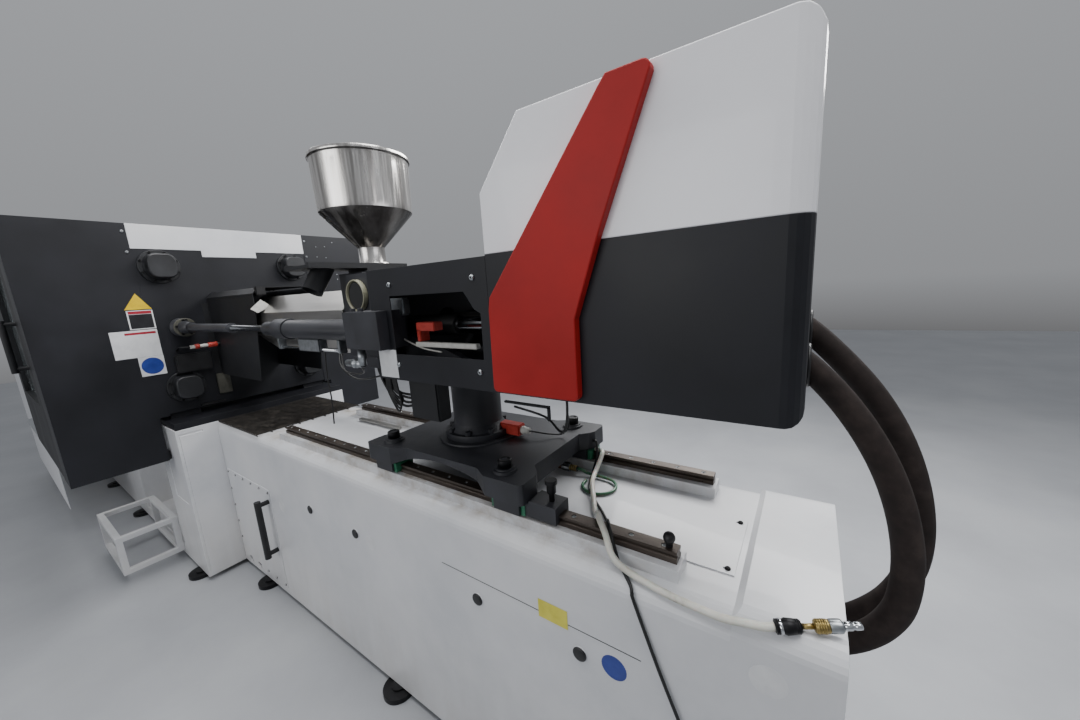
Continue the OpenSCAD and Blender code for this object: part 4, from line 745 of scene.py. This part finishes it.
front_spots = [(PANEL_X, s * 461, z, REAR, 14) for s in SIDES for z in (1920, 2028)]
front_spots += [(PANEL_X, y, z, REAR, 8) for y, z in far_spots]
heads("front_panel_screws", "button", front_spots, zinc, "machine", 5)
rail_spots = [(x, s * RAIL_Y, 986.2, UP, 13.4) for x in range(1130, 2993, 80) for s in SIDES]
heads("rail_caps", "cap", rail_spots, zinc, "machine", 7)
casting_spots = [(x, s * RAIL_Y, 1088.2, UP, 43) for x in (1973, 2502) for s in SIDES]
heads("casting_caps", "cap", casting_spots, oxide_black, "carriage", 9)
plug_spots = [(x, s * 293, 672, (0, s, 0), 39) for x in (1392, 1757, 2425, 2780) for s in SIDES]
heads("base_plugs", "plug", plug_spots, nylon_black, "machine", 11)
tray_spots = [(3096, 61, 938, UP, 13), (3096, -141, 938, UP, 13)]
heads("tray_screws", "button", tray_spots, oxide_black, "machine", 13)

# %% [markdown]
# The tie-bar nuts hide under cast covers: a round flange with eight socket screws, and a cap whose
# outline is a rounded square. A superellipse gives that outline, and its exponent sets how square it is.

# %% The nut covers
TIE_BARS = [(y, z) for y in (-345, 345) for z in (1155, 1845)]
CAP_RINGS = [(200, 79, 2), (206, 72, 2.2), (212, 69, 3), (264, 65, 3.4), (270, 63, 3.4), (272.5, 59, 3.4)]
CAP_CORNERS = 56
CAP_NARROWING = 0.94


def rounded_square(t, half, power):
    """A point of a superellipse at angle t."""
    c = math.cos(t)
    s = math.sin(t)
    return (half * math.copysign(abs(c) ** (2 / power), c), half * math.copysign(abs(s) ** (2 / power), s))


def build_covers(bm):
    """Four flanges with their caps, which narrow as each ring of CAP_RINGS (x, half, power) says."""
    for y, z in TIE_BARS:
        add_turned(bm, mm(190, y, z), mm(202, y, z), [(0, 91), (0.82, 91), (1, 89)], 48)
        rings = []
        for x, half, power in CAP_RINGS:
            ring = []
            for k in range(CAP_CORNERS):
                a, b = rounded_square(2 * math.pi * k / CAP_CORNERS, half, power)
                ring.append(bm.verts.new(mm(x, y + a * CAP_NARROWING, z + b)))
            rings.append(ring)
        add_rings(bm, rings, 0)


covers = mesh_piece("nut_cover_castings", build_covers, cast_cover, "machine")
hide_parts("nut_covers")
cover_spots = []
for y, z in TIE_BARS:
    for k in range(8):
        turn = math.radians(45 * k + 22.5)
        cover_spots.append((202, y + 82 * math.cos(turn), z + 82 * math.sin(turn), REAR, 13))
heads("nut_cover_screws", "cap", cover_spots, oxide_black, "machine", 15)

# %% [markdown]
# Label places stay bare fields of colour on thin vinyl, with no sign and no word on them. A joint sheet
# behind them closes the step between the front panel and the platen's face.

# %% Label fields on the front panel, the beam and the base
FILM_TONES = {
    "yellow": ["#C9A80C", "#D6B411", "#DDBD1C"],
    "white": ["#C9CACC", "#D3D4D6", "#DADBDC"],
    "red": ["#8A1B2A", "#962031", "#9F2638"],
    "black": ["#17171A", "#1E1E22", "#26262A"],
    "blue": ["#1D2F7A", "#233889", "#2B4297"],
    "note": ["#C9BF3E", "#D4CB4B", "#DBD35C"],
}
YELLOW, WHITE, RED, BLACK, BLUE, NOTE = range(6)
films = [finish_of(name + " vinyl film", tones, 45, (0.3, 0.42), 2, 0.02)
         for name, tones in FILM_TONES.items()]
FILM_MM = 0.35
OVER_MM = 0.36


def box_of(a, b, c, d):
    """Four corners of a rectangle."""
    return [(a, c), (b, c), (b, d), (a, d)]


def disc_of(a, b, radius, corners):
    """The corners of a round field."""
    turns = [math.radians(360 * k / corners) for k in range(corners)]
    return [(a + radius * math.cos(t), b + radius * math.sin(t)) for t in turns]


def build_sheet(bm):
    corners = [(-445.5, 1258), (-405, 1258), (-405, 1742), (-445.5, 1742)]
    add_slab(bm, [mm(190.1, y, z) for y, z in corners], mm(2.9, 0, 0))


def on_front(bm, corners, film, lift=0.0):
    """A field on the front panel, from corners of (y, z)."""
    add_slab(bm, [mm(PANEL_X + 0.05 + lift, y, z) for y, z in corners], mm(FILM_MM, 0, 0), film)


def on_side(bm, corners, y, film, thick=FILM_MM):
    """A field on a side face, from corners of (x, z)."""
    add_slab(bm, [mm(x, y, z) for x, z in corners], mm(0, -thick, 0), film)


def build_front_fields(bm):
    on_front(bm, [(-525, 1616), (-416, 1616), (-470, 1702)], YELLOW)
    on_front(bm, box_of(-521, -416, 1508, 1611), WHITE)
    on_front(bm, box_of(-515, -422, 1592, 1607), RED, OVER_MM)
    on_front(bm, box_of(-515, -422, 1513, 1590), BLACK, OVER_MM)
    on_front(bm, box_of(-604, -416, 1356, 1504), WHITE)
    on_front(bm, box_of(-548, -423, 1481, 1493), RED, OVER_MM)
    on_front(bm, box_of(-520, -415, 1248, 1355.5), WHITE)
    on_front(bm, disc_of(-467.5, 1302, 46, 48), BLUE, OVER_MM)


def build_beam_field(bm):
    on_side(bm, box_of(2118, 2204, 1356, 1442), -310.05, 0, 1)


def build_base_fields(bm):
    for x, z, film in ((3192, 837, WHITE), (2873, 681, BLUE), (1859, 664, WHITE), (1074, 597, WHITE)):
        on_side(bm, disc_of(x, z, 33, 36), -290.05, film)
    on_side(bm, box_of(2656, 2747, 724, 779), -290.7, NOTE)


mesh_piece("front_joint_sheet", build_sheet, enamel_dark, "machine")
mesh_piece("front_label_fields", build_front_fields, films, "machine")
mesh_piece("beam_label_field", build_beam_field, films[WHITE], "carriage")
mesh_piece("base_label_fields", build_base_fields, films, "machine")

# %% [markdown]
# Beside the nozzle box the traverse rod runs out of a dark sleeve with an olive flange. Under it sit a
# small black box, a bracket, and a plug joint of red and white connectors on a looped lead.

# %% Around the traverse rods
AXIS_Z = 1500
TRAVERSE_Y = 310
olive = finish_of("olive primer on iron", ["#3D3C35", "#4A4941", "#57564D"], 40, (0.5, 0.65), 2, 0.15)


def build_sleeves(bm):
    for y in (-TRAVERSE_Y, TRAVERSE_Y):
        boss = [(0, 53), (0.08, 53), (0.09, 40), (0.33, 38), (0.5, 36), (0.56, 29.8), (1, 29.6)]
        add_turned(bm, mm(190.2, y, AXIS_Z), mm(391, y, AXIS_Z), boss, 40)
        cover = [(0, 27), (0.06, 21), (0.98, 20.6), (0.985, 24), (1, 24)]
        add_turned(bm, mm(390.5, y, AXIS_Z), mm(964.5, y, AXIS_Z), cover, 32)
        disc = [(0, 50), (0.1, 52), (0.85, 52), (1, 50)]
        add_turned(bm, mm(262, y, AXIS_Z), mm(277, y, AXIS_Z), disc, 48, 1)


mesh_piece("rod_sleeves", build_sleeves, [cast_dark, olive], "machine")
flange_spots = [(277, -TRAVERSE_Y + s * 40 * math.cos(a), AXIS_Z + 40 * math.sin(a), REAR, 14) for s in SIDES
                for a in (0.2, 1.4, -1.1)]
heads("flange_screws", "cap", flange_spots, oxide_black, "machine", 17)
connector_red = finish_of("red connector plastic", ["#9C2A20", "#B0342A", "#BB4136"], 20, (0.35, 0.5), 1,
                          0.03)
connector_white = finish_of("white connector plastic", ["#BFBEB8", "#CBCAC4", "#D4D3CD"], 20, (0.35, 0.5), 1,
                            0.03)


def build_joint(bm):
    lead = route([(192, -352, 1368), (222, -348, 1384), (246, -330, 1386), (252, -306, 1383)])
    add_tube(bm, lead, 0.005, 12, 0)
    spans = [(-306, -284, 11, 2), (-284, -262, 14, 1), (-262, -222, 10, 2), (-222, -176, 15, 1),
             (-176, -160, 9, 0)]
    for y0, y1, radius, slot in spans:
        shell = [(0, radius - 1), (0.1, radius), (0.9, radius), (1, radius - 1)]
        add_turned(bm, mm(252, y0, 1383), mm(252, y1, 1383), shell, 20, slot)
    add_block(bm, (190.2, -376, 1240), (236, -212, 1346), 6, 0)
    add_block(bm, (190.2, -200, 1070), (206, -132, 1196), 3, 3)
    add_block(bm, (190.2, -300, 1018), (214, -180, 1030), 2, 0)


mesh_piece("platen_fittings", build_joint, [nylon_black, connector_red, connector_white, olive], "machine")

# %% [markdown]
# The near traverse cylinder carries a bright position rod, its pickup box and a zinc elbow, and the
# casting carries a rusty drain pipe with its union. They are solids of dark castings, so bright skins
# a fraction of a millimetre larger stand over them.

# %% Bright parts on the dark castings
ROD_Y = -310
ROD_Z = 1428
PIPE_X = 2484
PIPE_Y = 112
PIPE_Z = 956
rust = finish_of("rusty pipe", ["#3B2417", "#5A3722", "#7A4E33"], 22, (0.6, 0.8), 1.5, 0.3)


def build_rod(bm):
    add_turned(bm, mm(1451.5, ROD_Y, ROD_Z), mm(1916.5, ROD_Y, ROD_Z), [(0, 6.4), (1, 6.4)], 20, 0)
    for x in (1451.6, 1899.6):
        add_block(bm, (x, ROD_Y - 12.5, 1420), (x + 17, ROD_Y + 12.5, 1466), 1.5, 1)
    add_block(bm, (1631.4, ROD_Y - 15.6, 1419.4), (1782.6, ROD_Y + 15.6, 1466), 3, 1)
    upright = [(0, 12.5), (0.3, 12.5), (0.32, 14), (0.6, 14), (0.62, 12.5), (1, 12.5)]
    add_turned(bm, mm(2020, ROD_Y, 1384), mm(2020, ROD_Y, 1446), upright, 28, 1)
    branch = [(0, 4), (0.02, 12.6), (0.3, 12.4), (0.4, 11.6), (0.42, 15.5), (0.56, 15.5), (0.58, 11.5),
              (1, 11.5)]
    add_turned(bm, mm(2022, ROD_Y, 1388), mm(1929.5, ROD_Y, 1388), branch, 28, 1)


def build_union(bm):
    corner = mm(PIPE_X, PIPE_Y, PIPE_Z)
    add_turned(bm, corner, mm(PIPE_X, PIPE_Y, 1051), [(0, 12.9), (1, 12.9)], 24, 0)
    spans = [(2471, 2507, [(0, 4), (0.15, 10.5), (0.36, 12.9), (1, 12.9)], 24, 0),
             (2505.5, 2536.5, [(0, 15), (0.08, 16.5), (0.9, 16.5), (1, 15)], 6, 1),
             (2535, 2566.2, knurled(0.02, 0.98, 10.6, 4), 24, 2)]
    for x0, x1, outline, sides, slot in spans:
        add_turned(bm, mm(x0, PIPE_Y, PIPE_Z), mm(x1, PIPE_Y, PIPE_Z), outline, sides, slot)


mesh_piece("position_rod_skin", build_rod, [chrome_rod, zinc], "carriage")
mesh_piece("drain_union_skin", build_union, [rust, zinc, brass], "carriage")

# %% [markdown]
# A red proximity switch with a white plug sits on the casting beside the column. Its lead and a hank of
# spare cable hang under the front of the beam, and a few leads sag below the unit.

# %% Switch and hanging leads
SWITCH_LEAD = [(2424, 32, 1103), (2450, 40, 1100), (2486, 62, 1092), (2520, 90, 1088), (2552, 84, 1120),
               (2580, 40, 1200), (2600, 0, 1300), (2606, -20, 1356)]
LEADS = [[(1540, -120, 1400), (1620, -170, 1330), (1760, -190, 1290), (1900, -180, 1310), (2010, -150, 1352)],
         [(1600, -150, 1380), (1680, -190, 1320), (1800, -215, 1318), (1900, -240, 1340), (1950, -290, 1388)],
         [(1290, -60, 1404), (1310, -80, 1250), (1335, -90, 1120), (1340, -100, 1010)]]


def build_switch(bm):
    add_block(bm, (2300, 12, 1083), (2392, 52, 1123), 4, 0)
    add_turned(bm, mm(2392, 32, 1103), mm(2424, 32, 1103), [(0, 14), (0.3, 15), (0.4, 12), (1, 11)], 20, 1)
    add_tube(bm, route(SWITCH_LEAD), 0.0028, 10, 2)


def build_hank(bm):
    """Five loops of spare cable, each a little lower and more to the side than the last."""
    for i in range(5):
        reach = 1225 + 9 * i
        lean = 4 * i
        loop = [(2080 + lean, -270, 1352), (2072 + lean, -268 + i, 1300), (2090 + lean, -262 - i, reach + 22),
                (2112 + lean, -262 + 2 * i, reach), (2132, -264, reach + 30), (2130 - lean, -268, 1300),
                (2124 - lean, -270, 1352)]
        add_tube(bm, route(loop), 0.003, 8)


def build_leads(bm):
    for points in LEADS:
        add_tube(bm, route(points, 8), 0.0035, 8)


mesh_piece("red_switch", build_switch, [connector_red, connector_white, rubber], "carriage")
mesh_piece("spare_cable_hank", build_hank, rubber, "carriage")
mesh_piece("leads_under_the_unit", build_leads, rubber, "carriage")

# %% [markdown]
# Through the beam's window one sees the guide rod in its black bellows, a red bracket, a white cable
# duct and a few fittings. The bellows is a turned solid with a fold every few millimetres.

# %% Inside the window
FOLDS = 30
bellows_black = finish_of("bellows rubber", ["#0E0E0F", "#141415", "#1B1B1C"], 60, (0.5, 0.65), 2, 0.08)
THIN_WIRE = [(2160, -264, 1552), (2140, -266, 1520), (2146, -262, 1488), (2190, -256, 1462),
             (2260, -252, 1440), (2340, -254, 1432)]


def build_window(bm):
    folds = []
    for k in range(FOLDS):
        folds += [(k / FOLDS, 27.5), ((k + 0.5) / FOLDS, 33)]
    for y in (-150, 150):
        add_turned(bm, mm(2106, y, AXIS_Z), mm(2320, y, AXIS_Z), folds + [(1, 27.5)], 32, 0)
    add_block(bm, (2248, -262, 1494), (2326, -226, 1519), 2, 1)
    add_block(bm, (2248, -262, 1462), (2264, -226, 1496), 2, 1)
    add_block(bm, (2236, -262, 1446), (2488, -244, 1460), 2, 2)
    add_block(bm, (2112, -262, 1540), (2196, -232, 1594), 5, 3)
    add_tube(bm, route(THIN_WIRE), 0.0025, 8, 2)
    for z in (1386, 1400):
        cable_run = [(2110, -236, z), (2240, -226, z + 6), (2380, -236, z - 2), (2560, -230, z + 4)]
        add_tube(bm, route(cable_run), 0.006, 10, 4)


window_finishes = [bellows_black, connector_red, connector_white, zinc, rubber]
mesh_piece("window_parts", build_window, window_finishes, "carriage")

# %% [markdown]
# Small things that give the picture its scale: the gauge's dark glass in the round cap, a box and leads
# beside the column, a tag and a clip on the nozzle box, a steel bar left on the deck, the seam of the
# base, and rubber grommets where the hoses enter.

# %% Glass, column side, tag, deck bar and grommets
glass_dark = finish_of("smoked gauge glass", ["#0D0D0D", "#121212", "#171716"], 60, (0.06, 0.12), 2, 0.01)
DROP_LEAD = [(2723, -200, 1352), (2724, -200, 1290), (2718, -202, 1240), (2691, -190, 1224),
             (2600, -120, 1228), (2480, -110, 1242)]


def build_glass(bm):
    add_turned(bm, mm(1873, -203.9, 1611), mm(1873, -212, 1611), [(0, 50.4), (0.7, 50.4), (1, 46)], 48)


def build_column_side(bm):
    add_block(bm, (2160, -250, 1206), (2293, -196, 1349), 5, 0)
    add_block(bm, (2521, -206, 1286), (2671, -196, 1292), 1, 0)
    add_block(bm, (2665, -206, 1252), (2671, -196, 1290), 1, 0)
    add_tube(bm, route(DROP_LEAD), 0.0035, 10, 1)
    for shift in (0, 10, 22, 31):
        sag = [(2150, -210 + shift, 1240 + shift), (2060, -205 + shift, 1222 + shift),
               (1960, -190 + shift, 1260), (1900, -180 + shift, 1330), (1880, -170 + shift, 1390)]
        add_tube(bm, route(sag), 0.0045, 10, 1)


def build_tag(bm):
    corners = [mm(864, -187, 1582), mm(868, -158, 1560), mm(872, -92, 1590), mm(866, -134, 1627)]
    add_slab(bm, corners, mm(0.6, 0, 0), 0)
    add_block(bm, (850, -150, 1650), (872, -104, 1694), 4, 1)


def build_deck_bar(bm):
    add_block(bm, (1192, 108, 938.2), (1541, 132, 950), 2, 0)
    add_block(bm, (2272, -290.6, 739), (2942, -290.02, 741), 0.2, 1)


mesh_piece("round_cap_lens", build_glass, glass_dark, "carriage")
mesh_piece("column_side_fittings", build_column_side, [texture_dark, rubber], "carriage")
mesh_piece("nozzle_box_tag", build_tag, [connector_white, nylon_black], "machine")
mesh_piece("deck_bar_and_seam", build_deck_bar, [steel_ground, oxide_black], "machine")
GROMMETS = [(3222, -60, 1408, "carriage"), (3222, 60, 1466, "carriage"), (3308, -60, 784, "machine"),
            (3308, 60, 743, "machine")]
GROMMET_OUTLINE = [(0, 46), (0.6, 46), (1, 43), (1, 37), (0.2, 35)]
for number, (x, y, z, body) in enumerate(GROMMETS):
    mesh_piece("grommet_%d" % number,
               lambda bm: add_turned(bm, mm(x + 0.1, y, z), mm(x + 6, y, z), GROMMET_OUTLINE, 40),
               nylon_black, body)
for head in head_objects.values():
    bpy.data.objects.remove(head)

# %% [markdown]
# A pale floor catches the shadows. Soft panels overhead, at the near side and behind stand in for the
# shop's light tubes. The world fills the rest: pale above the horizon and dark below it.

# %% Floor and light
floor_paint = finish_of("pale floor", ["#909296", "#999B9F", "#A1A3A6"], 900, (0.5, 0.6), 6, 0.05)


def build_floor(bm):
    corners = [(-14, -10), (14, -10), (14, 12), (-14, 12)]
    bm.faces.new([bm.verts.new((x, y, 0)) for x, y in corners])


floor = mesh_piece("floor", build_floor, floor_paint, None)
world = bpy.data.worlds.new("studio")
bpy.context.scene.world = world
world.use_nodes = True
sky = world.node_tree.nodes["Background"]
sky.inputs["Strength"].default_value = 0.6
toward = add(world.node_tree, "ShaderNodeTexCoord")
height = add(world.node_tree, "ShaderNodeSeparateXYZ", links={"Vector": (toward, "Generated")})
lifted = add(world.node_tree, "ShaderNodeMapRange", {"From Min": -1, "From Max": 1}, {"Value": (height, "Z")})
SKY_TONES = [(0.0, linear("#3A3734")), (0.4, linear("#55524F")), (0.49, linear("#B9BBBF")),
             (1.0, linear("#E6E9EE"))]
shades = ramp(world.node_tree, lifted, "Result", SKY_TONES)
world.node_tree.links.new(shades.outputs["Color"], sky.inputs["Color"])


def panel_light(name, place, target, size, power):
    """A soft panel that faces a point."""
    data = bpy.data.lights.new(name, "AREA")
    data.shape = "RECTANGLE"
    data.size = size[0]
    data.size_y = size[1]
    data.energy = power
    made = bpy.data.objects.new(name, data)
    bpy.context.scene.collection.objects.link(made)
    made.location = place
    made.rotation_euler = (Vector(target) - Vector(place)).to_track_quat("-Z", "Y").to_euler()
    print(name, power, "W")


panel_light("overhead", (1.8, -0.3, 4.2), (1.8, 0.0, 0.8), (7.0, 1.8), 250)
panel_light("window_side", (1.0, -5.0, 2.4), (1.6, 0, 1.0), (3.6, 2.0), 70)
panel_light("rear_row", (2.9, 2.6, 3.4), (2.6, 0.0, 0.9), (3.2, 1.2), 170)
